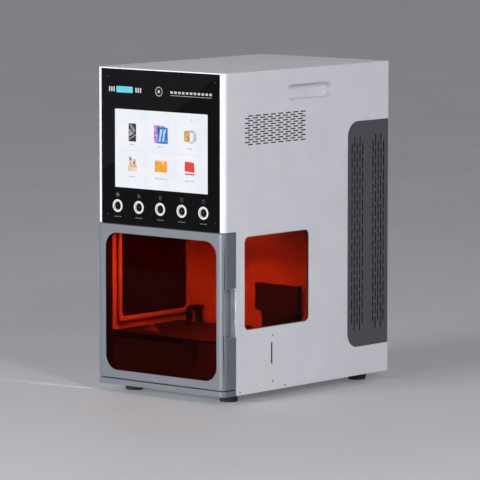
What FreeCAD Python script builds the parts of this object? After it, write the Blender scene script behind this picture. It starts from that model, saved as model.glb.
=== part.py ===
import FreeCAD, Part
import math
import os

# Desktop galvo laser cutter with a glazed work chamber, a touch panel and a screw-driven lift table.
# All sizes are in millimetres. While modelling, x runs from the left face to the right, y from the
# front face to the back and z from the underside of the base plate upwards. Each piece is moved to
# the part's own frame when it is written: origin on the standing surface, under the middle.

# ---------------------------------------------------------------- driving dimensions
BODY_W = 237.0
BODY_D = 363.0
BODY_H = 450.0
FOOT_H = 12.0
SHEET = 2.0            # outer sheet metal
FIT = 0.3              # gap between pieces that move past each other
RUN = 0.05             # radial clearance of a running fit
MID_X = BODY_W / 2

CORNER_R = 9.0         # vertical front corners of the upper body
DOOR_R = 9.0           # vertical front corners of the door and the sill
TOP_EDGE_R = 1.5
TOP_PLATE = 1.6

SILL_TOP = 8.0
DOOR_BOTTOM = 9.5
DOOR_TOP = 228.4
UPPER_Z = 229.4        # underside of the upper body
DOOR_D = 26.0          # depth of the door where it wraps the right side
COVER_TOP = BODY_H - TOP_PLATE

FLOOR_TOP = 9.5
BACK_WALL_Y = 190.0    # front face of the chamber's back wall
THIN = 1.5             # inner sheet metal
DECK_TOP = UPPER_Z + SHEET
REAR_Y = BODY_D - SHEET  # outer face of the rear panel, set in behind the rim of the covers

# side windows, openings and fittings, as (y0, y1, z0, z1)
WINDOW = (44.0, 184.5, 90.0, 220.6)
WINDOW_R = 8.5
HANDLE = (135.0, 236.0, 405.2, 428.3)
HANDLE_R = 10.0
HANDLE_DEPTH = 13.0
VENT_PANEL = (270.5, BODY_D, 41.2, 367.0)
VENT_PANEL_R = 22.0
VENT_LAP = 5.0         # how far the insert reaches behind the cover
SCALE_SLOT = (101.2, 104.2, 36.5, 69.4)
SCALE_SLOT_R = 1.4
SIDE_SCREWS = [(105.4, 77.3), (105.6, 12.3), (132.0, 4.2), (34.5, 4.2)]
VENT_SCREWS = [(315.0, 361.4), (274.7, 324.5), (274.7, 243.5), (274.7, 162.0), (274.7, 79.7), (313.2, 46.0)]
SIDE_SCREW_R = 1.6

# front panel, as (x0, x1, z0, z1)
GLASS = (8.8, 229.8, 229.8, 448.2)
GLASS_GAP = 0.2
GLASS_Y = 0.8
GLASS_T = 3.0
DISPLAY = (34.0, 206.8, 281.5, 392.0)
BUTTON_X = [38.8, 78.9, 119.0, 159.1, 199.2]
BUTTON_Z = 255.0
BUTTON_NAMES = ["fan_button", "laser_button", "lamp_button", "focus_button", "power_button"]
BEZEL_R = 9.0
BARREL_R = 8.0
BORE_R = 5.85
CAP_R = 5.5
PANEL_SCREWS = [(19.5, 437.0), (221.0, 437.0), (20.5, 242.0), (221.0, 242.0)]
PANEL_SCREW_R = 1.3

# door
DOOR_WINDOW = (15.7, 223.2, 21.0, 216.4)
DOOR_WINDOW_R = 21.0
DOOR_SKIN = 1.2
DOOR_RIM = 8.0
PANE_T = 3.0
PANE_LAP = 4.0
HINGE = (7.0, 7.0)     # x and y of the door's vertical pivot
HINGE_PIN_R = 2.0
LOWER_BUSH_R = 3.5
LOWER_BUSH_Z = 4.0     # bottom of the blind hole in the sill
UPPER_BUSH_R = 2.9
PIN_DEPTH = 6.5        # length of each hinge pin inside the door
GRIP = (2.8, DOOR_D, 82.0, 151.0)
GRIP_R = 6.0
GRIP_FLOOR_X = 230.5    # floor of the finger recess
GRIP_STRIP_X = 235.3    # floor of the strip behind it
GRIP_STEP_Y = 17.0
CATCH_X = (192.0, 212.0)
CATCH_Z = 221.0

# lift
TABLE = (5.0, BODY_W - 5.0, 27.5, 173.0)
TABLE_TOP = 73.0
TABLE_T = 3.5
TABLE_APRON_Z = 63.5
TABLE_HOLES = [(MID_X + dx, y) for dx in (-80.0, 80.0) for y in (48.0, 128.0)]
ROD_X = [27.5, BODY_W - 27.5]
ROD_Y = 178.0
ROD_R = 4.0
ROD_TOP = 92.0
ROD_TAB = (7.5, 89.0, 95.0)  # half width, bottom and top of the tab that holds each rod bracket
BEARING_R = 7.5
BEARING_H = 24.0
SCREW_XY = (MID_X, 175.0)
SCREW_R = 4.0
SCREW_BOTTOM = 12.0
NUT_BARREL_R = 5.1
NUT_FLANGE_R = 11.0
NUT_SEAT = 65.0        # underside of the table's middle lug, where the nut's flange bears
MOTOR_SIDE = 28.0
MOTOR_TOP = 30.5

# optics
LENS_XY = (MID_X, 108.0)
BEAM_X = 140.0         # the laser beam runs forwards here, then sideways to the lens's axis
BEAM_Z = 262.0
BEAM_HOLE_R = 5.0
SCANNER_R = 9.0
SCANNER_SHAFT_R = 1.5
MIRROR_HALF_T = 0.8
HEAD_HALF = 40.0
HEAD_TOP = 306.0
NECK_R = 30.0
LENS_R = 33.0
LENS_TOP = 225.4

# exhaust path
FAN_XZ = (178.0, 110.0)
FAN_HALF = 40.0
FAN_BORE_R = 38.0
FAN_HUB_R = 16.0
FAN_SHAFT_R = 2.0
FAN_Y = (334.0, 359.0)
DUCT_HALF = 38.0
HOOD_Y = 182.0
WALL_PORT = (152.0, 212.0, 80.0, 133.0)


# rear
REAR_SLOT_R = 1.4
REAR_SCREWS = [(x, z) for x in (8.0, BODY_W - 8.0) for z in (14.0, 150.0, 300.0, 438.0)]
INLET_XZ = (60.0, 40.0)
INLET_HALF = (27.0, 12.0)
SOCKET = (INLET_XZ[0] - 24.0, INLET_XZ[0] + 1.0, INLET_XZ[1] - 8.0, INLET_XZ[1] + 8.0)
ROCKER_X = (INLET_XZ[0] + 9.0, INLET_XZ[0] + 22.0)
ROCKER_Y = 355.0
ROCKER_TILT = 8.0
ROCKER_AXLE_R = 1.2


# ---------------------------------------------------------------- shape helpers
def at(axis, w, u, v):
    """Point at w along axis, with (u, v) the other two coordinates in x, y, z order."""
    if axis == "X":
        return FreeCAD.Vector(w, u, v)
    if axis == "Y":
        return FreeCAD.Vector(u, w, v)
    return FreeCAD.Vector(u, v, w)


def corner_edges(axis, w, corner, before, after, radius):
    """The rounded corner between two neighbours, as an arc, with its two tangent points."""
    to_before = (FreeCAD.Vector(before) - corner).normalize()
    to_after = (FreeCAD.Vector(after) - corner).normalize()
    start = corner + to_before * radius
    end = corner + to_after * radius
    middle = corner + (to_before + to_after) * radius * (1 - math.sqrt(0.5))
    return Part.Arc(start, middle, end).toShape(), start, end


def prism(axis, lo, hi, area, radii=0.0):
    """Rectangle area = (u0, u1, v0, v1) with rounded corners, extruded along axis from lo to hi."""
    u0, u1, v0, v1 = area
    if not isinstance(radii, (tuple, list)):
        radii = (radii, radii, radii, radii)
    corners = [at(axis, lo, u, v) for u, v in ((u0, v0), (u1, v0), (u1, v1), (u0, v1))]
    arcs = []
    ends = []
    for i, corner in enumerate(corners):
        if radii[i] > 0:
            arc, start, end = corner_edges(axis, lo, corner, corners[i - 1], corners[(i + 1) % 4], radii[i])
            arcs.append(arc)
            ends.append((start, end))
        else:
            arcs.append(None)
            ends.append((corner, corner))
    edges = []
    for i in range(4):
        if arcs[i] is not None:
            edges.append(arcs[i])
        start = ends[i][1]
        end = ends[(i + 1) % 4][0]
        if start.distanceToPoint(end) > 1e-6:
            edges.append(Part.LineSegment(start, end).toShape())
    face = Part.Face(Part.Wire(Part.__sortEdges__(edges)))
    return face.extrude(at(axis, hi, 0, 0) - at(axis, lo, 0, 0))


def polygon(axis, lo, hi, points):
    """Closed polygon of (u, v) points, extruded along axis from lo to hi."""
    ring = [at(axis, lo, u, v) for u, v in points]
    face = Part.Face(Part.makePolygon(ring + ring[:1]))
    return face.extrude(at(axis, hi, 0, 0) - at(axis, lo, 0, 0))


def cylinder(axis, lo, hi, u, v, radius):
    return Part.makeCylinder(radius, hi - lo, at(axis, lo, u, v), at(axis, 1, 0, 0))


def tube(axis, lo, hi, u, v, outer, inner):
    return cylinder(axis, lo, hi, u, v, outer).cut(cylinder(axis, lo - 1, hi + 1, u, v, inner))


def block(x0, x1, y0, y1, z0, z1):
    return Part.makeBox(x1 - x0, y1 - y0, z1 - z0, FreeCAD.Vector(x0, y0, z0))


def grow(area, by):
    return (area[0] - by, area[1] + by, area[2] - by, area[3] + by)


def join(shapes):
    return shapes[0].multiFuse(shapes[1:]).removeSplitter()


def mirrored(shape):
    """The same piece on the other side of the body."""
    return shape.mirror(FreeCAD.Vector(MID_X, 0, 0), FreeCAD.Vector(1, 0, 0))


def both_sides(shape):
    return Part.makeCompound([shape, mirrored(shape)])


# ---------------------------------------------------------------- base
def front_sill():
    """Low cast sill under the door, with the door's rounded front corners."""
    bar = prism("Z", 0, SILL_TOP, (0, BODY_W, 0, DOOR_D), (HINGE[0], DOOR_R, 0, 0))
    return bar.cut(cylinder("Z", LOWER_BUSH_Z, SILL_TOP + 1, *HINGE, LOWER_BUSH_R))


def base_plate():
    return block(SHEET, BODY_W - SHEET, DOOR_D, REAR_Y - SHEET, 0, SHEET)


def feet():
    """Four rubber feet, slightly tapered towards the floor."""
    top_r = 14.0
    bottom_r = 12.5
    inset_x = 30.0
    front_y = 45.0
    rear_y = 330.0
    solids = []
    for x in (inset_x, BODY_W - inset_x):
        for y in (front_y, rear_y):
            solids.append(Part.makeCone(bottom_r, top_r, FOOT_H, FreeCAD.Vector(x, y, -FOOT_H)))
    return Part.makeCompound(solids)


# ---------------------------------------------------------------- covers
def grille_slots():
    """Thirteen staggered rows of short slots near the top of each side."""
    slot_l = 11.3
    slot_h = 1.7
    end_r = 0.8
    pitch_y = 16.3
    pitch_z = 3.31
    rows = 13
    per_row = 8
    first_z = 348.8
    first_y = 51.2
    stagger = -6.4
    slots = []
    for row in range(rows):
        z = first_z + row * pitch_z
        for i in range(per_row):
            y = first_y + i * pitch_y + (stagger if row % 2 else 0)
            area = (y, y + slot_l, z - slot_h / 2, z + slot_h / 2)
            slots.append(prism("X", BODY_W - 2 * SHEET, BODY_W + 1, area, end_r))
    return slots


def side_cover(front_y, lip_x):
    """Right-hand side sheet. It starts at front_y behind the door, and at lip_x beside the glass."""
    inner_x = BODY_W - SHEET
    behind_door = DOOR_D + 2 * FIT
    sheet = block(inner_x, BODY_W, behind_door, BODY_D, 0, COVER_TOP)
    upper = block(inner_x, BODY_W, CORNER_R, behind_door, UPPER_Z, COVER_TOP)
    corner = tube("Z", UPPER_Z, COVER_TOP, BODY_W - CORNER_R, CORNER_R, CORNER_R, CORNER_R - SHEET)
    quarter = block(lip_x, BODY_W, 0, CORNER_R, UPPER_Z, COVER_TOP)
    pieces = [sheet, upper, corner.common(quarter)]
    if front_y < behind_door:
        pieces.append(block(inner_x, BODY_W, front_y, behind_door, DOOR_BOTTOM, UPPER_Z))
    through = (inner_x - 1, BODY_W + 1)
    cuts = grille_slots()
    cuts.append(prism("X", *through, WINDOW, WINDOW_R))
    cuts.append(prism("X", *through, HANDLE, HANDLE_R))
    cuts.append(prism("X", *through, SCALE_SLOT, SCALE_SLOT_R))
    cuts.append(prism("X", *through, (VENT_PANEL[0], BODY_D + 1, VENT_PANEL[2], VENT_PANEL[3]),
                      (VENT_PANEL_R, 0, 0, VENT_PANEL_R)))
    for y, z in SIDE_SCREWS:
        cuts.append(cylinder("X", *through, y, z, SIDE_SCREW_R))
    return join(pieces).cut(cuts)


def vent_panel():
    """Grey insert at the rear of the side, with two bands of staggered vertical slots."""
    inner_x = BODY_W - SHEET
    outer_x = BODY_W - 0.4
    slot_w = 2.0
    slot_h = 17.5
    end_r = 0.95
    column_pitch = 6.0
    cell = 20.3
    cells = 13
    first_z = 74.5
    bands_y = (281.0, 328.8)
    radii = (VENT_PANEL_R - FIT, 0, 0, VENT_PANEL_R - FIT)
    y0, y1, z0, z1 = VENT_PANEL
    face = prism("X", inner_x, outer_x, (y0 + FIT, y1, z0 + FIT, z1 - FIT), radii)
    lap = (y0 - VENT_LAP, REAR_Y - SHEET, z0 - VENT_LAP, z1 + VENT_LAP)
    back = prism("X", inner_x - SHEET / 2, inner_x, lap, (VENT_PANEL_R, 0, 0, VENT_PANEL_R))
    slots = []
    for band_y in bands_y:
        for column in range(5):
            y = band_y + column * column_pitch
            shifted = column % 2
            for i in range(cells + shifted):
                z = first_z + (i - 0.5 * shifted) * cell
                area = (y - slot_w / 2, y + slot_w / 2, z, z + slot_h)
                slots.append(prism("X", inner_x - SHEET, BODY_W + 1, area, end_r))
    for y, z in VENT_SCREWS:
        slots.append(cylinder("X", inner_x - SHEET, BODY_W + 1, y, z, SIDE_SCREW_R))
    return join([face, back]).cut(slots)


def top_cover():
    radii = (CORNER_R, CORNER_R, 0, 0)
    plate = prism("Z", COVER_TOP, BODY_H, (0, BODY_W, 0, BODY_D), radii)
    rim = [edge for edge in plate.Edges if edge.BoundBox.ZMin > BODY_H - 0.01]
    return plate.makeFillet(TOP_EDGE_R, rim)


def fan_grille_slots():
    """Horizontal slots that together make a round outlet grille."""
    slot_h = 3.0
    pitch = 6.0
    radius = 36.0
    above = 5
    slots = []
    for i in range(-above, above + 1):
        dz = i * pitch
        half = math.sqrt(radius ** 2 - dz ** 2)
        z = FAN_XZ[1] + dz
        area = (FAN_XZ[0] - half, FAN_XZ[0] + half, z - slot_h / 2, z + slot_h / 2)
        slots.append(prism("Y", REAR_Y - 2 * SHEET, BODY_D, area, REAR_SLOT_R))
    return slots


def rear_vent_slots():
    """Rows of cooling slots behind the laser source."""
    slot_w = 18.0
    slot_h = 3.0
    pitch_x = 27.0
    pitch_z = 9.0
    rows = 8
    columns = 6
    first_x = MID_X - ((columns - 1) * pitch_x + slot_w) / 2
    first_z = 330.0
    slots = []
    for row in range(rows):
        for column in range(columns):
            x = first_x + column * pitch_x
            z = first_z + row * pitch_z
            area = (x, x + slot_w, z, z + slot_h)
            slots.append(prism("Y", REAR_Y - 2 * SHEET, BODY_D, area, REAR_SLOT_R))
    return slots


def rear_panel():
    x, z = INLET_XZ
    half_x, half_z = INLET_HALF
    cuts = fan_grille_slots() + rear_vent_slots()
    cuts.append(prism("Y", REAR_Y - 2 * SHEET, BODY_D,
                      grow((x - half_x, x + half_x, z - half_z, z + half_z), 0.2)))
    for sx, sz in REAR_SCREWS:
        cuts.append(cylinder("Y", REAR_Y - 2 * SHEET, BODY_D, sx, sz, SIDE_SCREW_R))
    panel = block(SHEET, BODY_W - SHEET, REAR_Y - SHEET, REAR_Y, SHEET, COVER_TOP)
    return panel.cut(cuts)


def cover_screws():
    """Sunk screws of both sides and button-head screws of the rear panel."""
    sunk = 0.25
    head_h = 1.2
    right = []
    for y, z in SIDE_SCREWS:
        right.append(cylinder("X", BODY_W - SHEET, BODY_W - sunk, y, z, SIDE_SCREW_R))
    for y, z in VENT_SCREWS:
        right.append(cylinder("X", BODY_W - 1.5 * SHEET, BODY_W - sunk, y, z, SIDE_SCREW_R))
    solids = right + [mirrored(screw) for screw in right]
    for x, z in REAR_SCREWS:
        shank = cylinder("Y", REAR_Y - 3 * SHEET, REAR_Y, x, z, SIDE_SCREW_R)
        head = cylinder("Y", REAR_Y, REAR_Y + head_h, x, z, 2 * SIDE_SCREW_R)
        solids.append(shank.fuse(head).removeSplitter())
    return Part.makeCompound(solids)


def handle_cups():
    """Carrying recess pressed into each side, closed at its back."""
    wall = 1.2
    lap = 4.0
    inner_x = BODY_W - HANDLE_DEPTH
    cup = prism("X", inner_x - wall, BODY_W, HANDLE, HANDLE_R)
    flange = prism("X", BODY_W - SHEET - wall, BODY_W - SHEET, grow(HANDLE, lap), HANDLE_R + lap)
    hollow = prism("X", inner_x, BODY_W + 1, grow(HANDLE, -wall), HANDLE_R - wall)
    return both_sides(join([cup, flange]).cut(hollow))


def window_pane():
    lap = 5.0
    area = (WINDOW[0] - lap, BACK_WALL_Y - 2 * FIT, WINDOW[2] - lap, WINDOW[3] + lap)
    return prism("X", BODY_W - SHEET - PANE_T, BODY_W - SHEET, area, 4.0)


def window_retainers():
    """Frame that clamps each side pane from inside the chamber."""
    lap = 6.0
    depth = 3.0
    outer_x = BODY_W - SHEET - PANE_T
    area = (WINDOW[0] - lap, BACK_WALL_Y - 0.2, WINDOW[2] - lap, WINDOW[3] + lap)
    ring = prism("X", outer_x - depth, outer_x, area, 5.0)
    return both_sides(ring.cut(prism("X", outer_x - depth - 1, outer_x + 1, WINDOW, WINDOW_R)))


# ---------------------------------------------------------------- chamber
def hood_tab(x):
    """Tab that ties a rod bracket to the back wall."""
    half, z0, z1 = ROD_TAB
    return block(x - half, x + half, HOOD_Y - 1.0, BACK_WALL_Y, z0, z1)


def chamber_back_wall():
    wall = block(SHEET, BODY_W - SHEET, BACK_WALL_Y, BACK_WALL_Y + THIN, SHEET, UPPER_Z)
    return wall.cut(prism("Y", BACK_WALL_Y - 1, BACK_WALL_Y + THIN + 1, WALL_PORT))


def chamber_floor():
    """Pressed floor with two side flanges that stand on the base plate."""
    front = DOOR_D + 1.0
    floor = block(SHEET, BODY_W - SHEET, front, BACK_WALL_Y, FLOOR_TOP - THIN, FLOOR_TOP)
    left = block(SHEET, SHEET + THIN, front, BACK_WALL_Y, SHEET, FLOOR_TOP - THIN)
    return join([floor, left, mirrored(left)])


def lens_deck():
    """Full-depth shelf that closes the chamber and carries the optics."""
    clear = 0.1
    inner_r = CORNER_R - SHEET - clear
    area = (SHEET + clear, BODY_W - SHEET - clear, SHEET + clear, REAR_Y - SHEET)
    plate = prism("Z", UPPER_Z, DECK_TOP, area, (inner_r, inner_r, 0, 0))
    front = block(0, BODY_W, 0, GLASS_Y + GLASS_T + 0.2, UPPER_Z - 1, DECK_TOP + 1)
    neck_hole = cylinder("Z", UPPER_Z - 1, DECK_TOP + 1, *LENS_XY, NECK_R + 0.5)
    bush_hole = cylinder("Z", UPPER_Z - 1, DECK_TOP + 1, *HINGE, UPPER_BUSH_R)
    beside_vent = block(0, 2 * SHEET, VENT_PANEL[0] - VENT_LAP - 1, BODY_D, UPPER_Z - 1, DECK_TOP + 1)
    return plate.cut([front, neck_hole, bush_hole, beside_vent, mirrored(beside_vent)])


def led_strips():
    """Two light bars under the deck, at the front and the back of the chamber."""
    width = 9.0
    height = 4.0
    inset = 30.0
    front_y = 24.0
    back_y = 160.0
    bars = []
    for y in (front_y, back_y):
        area = (y, y + width, UPPER_Z - height, UPPER_Z)
        bars.append(prism("X", inset, BODY_W - inset, area, (1.5, 1.5, 0, 0)))
    return Part.makeCompound(bars)


def fume_hood():
    """T-shaped sheet-metal intake on the back wall, open along its lower edge."""
    wall = 1.2
    upper = (138.0, 217.5, 98.0, 137.0)
    lower = (150.3, 214.3, 74.0, 98.0)
    shell = join([prism("Y", HOOD_Y, BACK_WALL_Y, upper), prism("Y", HOOD_Y, BACK_WALL_Y, lower)])
    room_upper = grow(upper, -wall)
    room_lower = (lower[0] + wall, lower[1] - wall, lower[2] - 1, lower[3] + 2 * wall)
    room = join([prism("Y", HOOD_Y + wall, BACK_WALL_Y + 1, room_upper),
                 prism("Y", HOOD_Y + wall, BACK_WALL_Y + 1, room_lower)])
    half, z0, z1 = ROD_TAB
    beside_tab = (ROD_X[1] - half, ROD_X[1] + half, z0, z1)
    return shell.cut(room).cut(prism("Y", HOOD_Y - 1, BACK_WALL_Y, grow(beside_tab, 0.5)))


# ---------------------------------------------------------------- front panel
def front_glass():
    """Black glass with a window for the display and five round button holes."""
    back = GLASS_Y + GLASS_T
    plate = prism("Y", GLASS_Y, back, GLASS, 1.5)
    cuts = [prism("Y", GLASS_Y - 1, back + 1, DISPLAY, 1.0)]
    for x in BUTTON_X:
        cuts.append(cylinder("Y", GLASS_Y - 1, back + 1, x, BUTTON_Z, BARREL_R))
    for x, z in PANEL_SCREWS:
        cuts.append(cylinder("Y", GLASS_Y - 1, back + 1, x, z, PANEL_SCREW_R))
    return plate.cut(cuts)


def front_screws():
    proud = 0.3
    tip_y = 8.0
    solids = []
    for x, z in PANEL_SCREWS:
        solids.append(cylinder("Y", GLASS_Y - proud, tip_y, x, z, PANEL_SCREW_R))
    return Part.makeCompound(solids)


def panel_backing():
    """Steel sheet behind the glass, standing on the deck and reaching the top cover."""
    front = GLASS_Y + GLASS_T
    back = front + SHEET
    plate = prism("Y", front, back, (5.0, BODY_W - 5.0, DECK_TOP, COVER_TOP))
    cuts = [prism("Y", front - 1, back + 1, grow(DISPLAY, 2.0), 1.0)]
    for x in BUTTON_X:
        cuts.append(cylinder("Y", front - 1, back + 1, x, BUTTON_Z, BARREL_R))
    for x, z in PANEL_SCREWS:
        cuts.append(cylinder("Y", front - 1, back + 1, x, z, PANEL_SCREW_R))
    return plate.cut(cuts)


def touch_display():
    """Display module: the screen fills the window in the glass, the wider body sits behind it."""
    seat = GLASS_Y + GLASS_T
    depth = 6.0
    screen = prism("Y", GLASS_Y, seat, grow(DISPLAY, -0.1), 0.9)
    body = prism("Y", seat, seat + depth, grow(DISPLAY, 1.8), 0.9)
    return join([screen, body])


def button_bodies():
    """Fixed part of each push-button: bezel ring, barrel and closed switch housing."""
    rear = 22.0
    solids = []
    for x in BUTTON_X:
        bezel = cylinder("Y", 0, GLASS_Y, x, BUTTON_Z, BEZEL_R)
        barrel = cylinder("Y", GLASS_Y, rear, x, BUTTON_Z, BARREL_R)
        bore = cylinder("Y", -1, rear - 2.0, x, BUTTON_Z, BORE_R)
        solids.append(bezel.fuse(barrel).removeSplitter().cut(bore))
    return Part.makeCompound(solids)


def button_cap(x):
    front = 0.5
    length = 12.0
    cap = cylinder("Y", front, front + length, x, BUTTON_Z, CAP_R)
    rim = [edge for edge in cap.Edges if edge.BoundBox.YMax < front + 0.01]
    return cap.makeChamfer(0.4, rim)


# ---------------------------------------------------------------- door
def door_frame():
    """Die-cast frame: rolled hinge edge on the left, deep stile with the grip on the right."""
    roll = cylinder("Z", DOOR_BOTTOM, DOOR_TOP, *HINGE, HINGE[0])
    rim = block(HINGE[0], BODY_W - DOOR_R, 0, DOOR_RIM, DOOR_BOTTOM, DOOR_TOP)
    stile_x = DOOR_WINDOW[1] + PANE_LAP
    stile = prism("Z", DOOR_BOTTOM, DOOR_TOP, (stile_x, BODY_W, 0, DOOR_D), (0, DOOR_R, 0, 0))
    pocket = grow(DOOR_WINDOW, PANE_LAP)
    pocket_r = DOOR_WINDOW_R + PANE_LAP
    cuts = [prism("Y", -1, 2 * HINGE[1] + 1, DOOR_WINDOW, DOOR_WINDOW_R),
            prism("Y", DOOR_SKIN, 2 * HINGE[1] + 1, pocket, pocket_r),
            cylinder("Z", DOOR_BOTTOM - 1, DOOR_BOTTOM + PIN_DEPTH, *HINGE, HINGE_PIN_R),
            cylinder("Z", DOOR_TOP - PIN_DEPTH, DOOR_TOP + 1, *HINGE, HINGE_PIN_R),
            prism("X", GRIP_FLOOR_X - THIN, BODY_W + 1, (GRIP[0], DOOR_D + 1, GRIP[2], GRIP[3]),
                  (GRIP_R, 0, 0, GRIP_R))]
    return join([roll, rim, stile]).cut(cuts)


def door_window():
    return prism("Y", DOOR_SKIN, DOOR_SKIN + PANE_T, grow(DOOR_WINDOW, PANE_LAP), DOOR_WINDOW_R + PANE_LAP)


def door_inner_frame():
    """Black frame that holds the pane in the door from behind."""
    front = DOOR_SKIN + PANE_T
    back = DOOR_RIM + 1.5
    ring = prism("Y", front, back, grow(DOOR_WINDOW, PANE_LAP), DOOR_WINDOW_R + PANE_LAP)
    return ring.cut(prism("Y", front - 1, back + 1, DOOR_WINDOW, DOOR_WINDOW_R))


def door_grip_insert():
    """Lining of the finger recess, with a raised strip along the door's rear edge."""
    wall = 1.2
    y0, y1, z0, z1 = GRIP
    cup = prism("X", GRIP_FLOOR_X - THIN, BODY_W, GRIP, (GRIP_R, 0, 0, GRIP_R))
    inside_door = (MID_X, BODY_W - FIT, FIT, DOOR_D + 1)
    flush = prism("Z", z0 - 1, z1 + 1, inside_door, (0, DOOR_R - FIT, 0, 0))
    deep = prism("X", GRIP_FLOOR_X, BODY_W + 1, (y0 + wall, GRIP_STEP_Y, z0 + wall, z1 - wall),
                 (GRIP_R - wall, 0, 0, GRIP_R - wall))
    shallow = prism("X", GRIP_STRIP_X, BODY_W + 1, (GRIP_STEP_Y - 1, y1 + 1, z0 + wall, z1 - wall))
    return cup.common(flush).cut([deep, shallow])


def door_hinge_pins():
    lower = cylinder("Z", LOWER_BUSH_Z + FIT, DOOR_BOTTOM + PIN_DEPTH, *HINGE, HINGE_PIN_R)
    upper = cylinder("Z", DOOR_TOP - PIN_DEPTH, DECK_TOP - FIT, *HINGE, HINGE_PIN_R)
    return Part.makeCompound([lower, upper])


def hinge_bushes():
    """Flanged bushes in the sill and in the deck; the lower flange carries the door."""
    flange_r = 5.0
    bore = cylinder("Z", 0, BODY_H, *HINGE, HINGE_PIN_R + RUN)
    lower = join([cylinder("Z", LOWER_BUSH_Z, SILL_TOP, *HINGE, LOWER_BUSH_R),
                  cylinder("Z", SILL_TOP, DOOR_BOTTOM - FIT, *HINGE, flange_r)])
    upper = join([cylinder("Z", UPPER_Z, DECK_TOP, *HINGE, UPPER_BUSH_R),
                  cylinder("Z", DOOR_TOP + FIT, UPPER_Z, *HINGE, flange_r)])
    return Part.makeCompound([lower.cut(bore), upper.cut(bore)])


def door_strike():
    return block(*CATCH_X, DOOR_RIM, DOOR_RIM + 1.2, CATCH_Z, DOOR_TOP - 0.9)


def door_magnet():
    return block(*CATCH_X, DOOR_RIM + 1.5, DOOR_RIM + 11.5, CATCH_Z, UPPER_Z)


# ---------------------------------------------------------------- lift
def lift_table():
    """Ribbed table with a stepped front apron, a cross groove and three rear lugs."""
    x0, x1, y0, y1 = TABLE
    under = TABLE_TOP - TABLE_T
    rib = 4.0
    apron_end = 133.0
    pieces = [block(x0, x1, y0, y1, under, TABLE_TOP),
              block(x0, apron_end, y0, y0 + rib, TABLE_APRON_Z, under),
              block(x0, x0 + rib, y0, y1, TABLE_APRON_Z, under),
              block(x1 - rib, x1, y0 + 30.0, y1, TABLE_APRON_Z, under),
              block(x0, x1, y1 - 3 * rib, y1, TABLE_APRON_Z, under)]
    for x in ROD_X:
        around_rod = (x - 11.0, x + 11.0, y1 - rib, ROD_Y + 10.5)
        pieces.append(prism("Z", TABLE_APRON_Z, TABLE_TOP, around_rod, 4.0))
    sx, sy = SCREW_XY
    lug = 12.5
    pieces.append(prism("Z", NUT_SEAT, TABLE_TOP, (sx - lug, sx + lug, y1 - rib, sy + lug), 4.0))
    groove = (46.0, BODY_W - 46.0, 136.0, 140.0)
    cuts = [prism("Z", TABLE_TOP - 1.8, TABLE_TOP + 1, groove, 1.9),
            cylinder("Z", TABLE_APRON_Z - 1, NUT_SEAT, sx, sy, NUT_FLANGE_R + 0.5),
            cylinder("Z", TABLE_APRON_Z - 1, TABLE_TOP + 1, sx, sy, NUT_BARREL_R)]
    for x in ROD_X:
        cuts.append(cylinder("Z", TABLE_APRON_Z - 1, TABLE_TOP + 1, x, ROD_Y, BEARING_R))
    for x, y in TABLE_HOLES:
        cuts.append(cylinder("Z", under - 1, TABLE_TOP + 1, x, y, 2.1))
    return join(pieces).cut(cuts)


def lift_bearings():
    solids = []
    for x in ROD_X:
        solids.append(tube("Z", TABLE_TOP - BEARING_H, TABLE_TOP, x, ROD_Y, BEARING_R, ROD_R + RUN))
    return Part.makeCompound(solids)


def lead_nut():
    sx, sy = SCREW_XY
    flange = cylinder("Z", NUT_SEAT - 3.5, NUT_SEAT, sx, sy, NUT_FLANGE_R)
    barrel = cylinder("Z", NUT_SEAT, TABLE_TOP + 3.0, sx, sy, NUT_BARREL_R)
    bore = cylinder("Z", NUT_SEAT - 5, TABLE_TOP + 5, sx, sy, SCREW_R + RUN)
    return flange.fuse(barrel).removeSplitter().cut(bore)


def height_pointers():
    """Tab on each side of the table that shows its height in the slot of the cover."""
    edge = TABLE[1]
    y = (SCALE_SLOT[0] + SCALE_SLOT[1]) / 2
    half = 4.0
    top = SCALE_SLOT[3] - 0.4
    under = TABLE_APRON_Z - 3.0
    tab = block(edge, BODY_W - FIT, y - 0.8, y + 0.8, top - 2.2, top)
    root = block(edge - half, edge, y - half, y + half, under, TABLE_APRON_Z)
    foot = block(edge, edge + THIN, y - half, y + half, under, top)
    return both_sides(join([tab, root, foot]))


def corner_stop():
    """L-shaped locating stop with its thumb screw, set on the table."""
    corner_x = 48.0
    corner_y = 43.0
    arm = 26.0
    width = 7.0
    pad = 12.5
    top = TABLE_TOP + 3.0
    along = block(corner_x, corner_x + arm, corner_y, corner_y + width, TABLE_TOP, top)
    across = block(corner_x, corner_x + width, corner_y, corner_y + arm, TABLE_TOP, top)
    gusset = block(corner_x + width, corner_x + pad, corner_y + width, corner_y + pad, TABLE_TOP, top)
    screw_at = width + 1.5
    screw = cylinder("Z", top, top + 7.0, corner_x + screw_at, corner_y + screw_at, 2.6)
    return join([along, across, gusset, screw])


def guide_rods():
    return Part.makeCompound([cylinder("Z", FLOOR_TOP, ROD_TOP, x, ROD_Y, ROD_R) for x in ROD_X])


def rod_brackets():
    """Arched bracket over the top of each guide rod, tied to the back wall."""
    half = 12.0
    wall = 3.5
    bottom = 73.6
    top = 96.0
    depth = (ROD_Y - 5.5, HOOD_Y - 0.5)
    crown = 6.5            # thickness of the arch over the rod's end
    solids = []
    for x in ROD_X:
        arch = prism("Y", *depth, (x - half, x + half, bottom, top), (0, 0, 9.0, 9.0))
        hollow = (x - half + wall, x + half - wall, bottom - 1, top - crown)
        room = prism("Y", depth[0] - 1, depth[1] + 1, hollow, (0, 0, 5.0, 5.0))
        seat = cylinder("Z", bottom, ROD_TOP, x, ROD_Y, ROD_R)
        solids.append(join([arch.cut(room), hood_tab(x)]).cut(seat))
    return Part.makeCompound(solids)


def lead_screw():
    top = 80.0
    return cylinder("Z", SCREW_BOTTOM, top, *SCREW_XY, SCREW_R)


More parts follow.
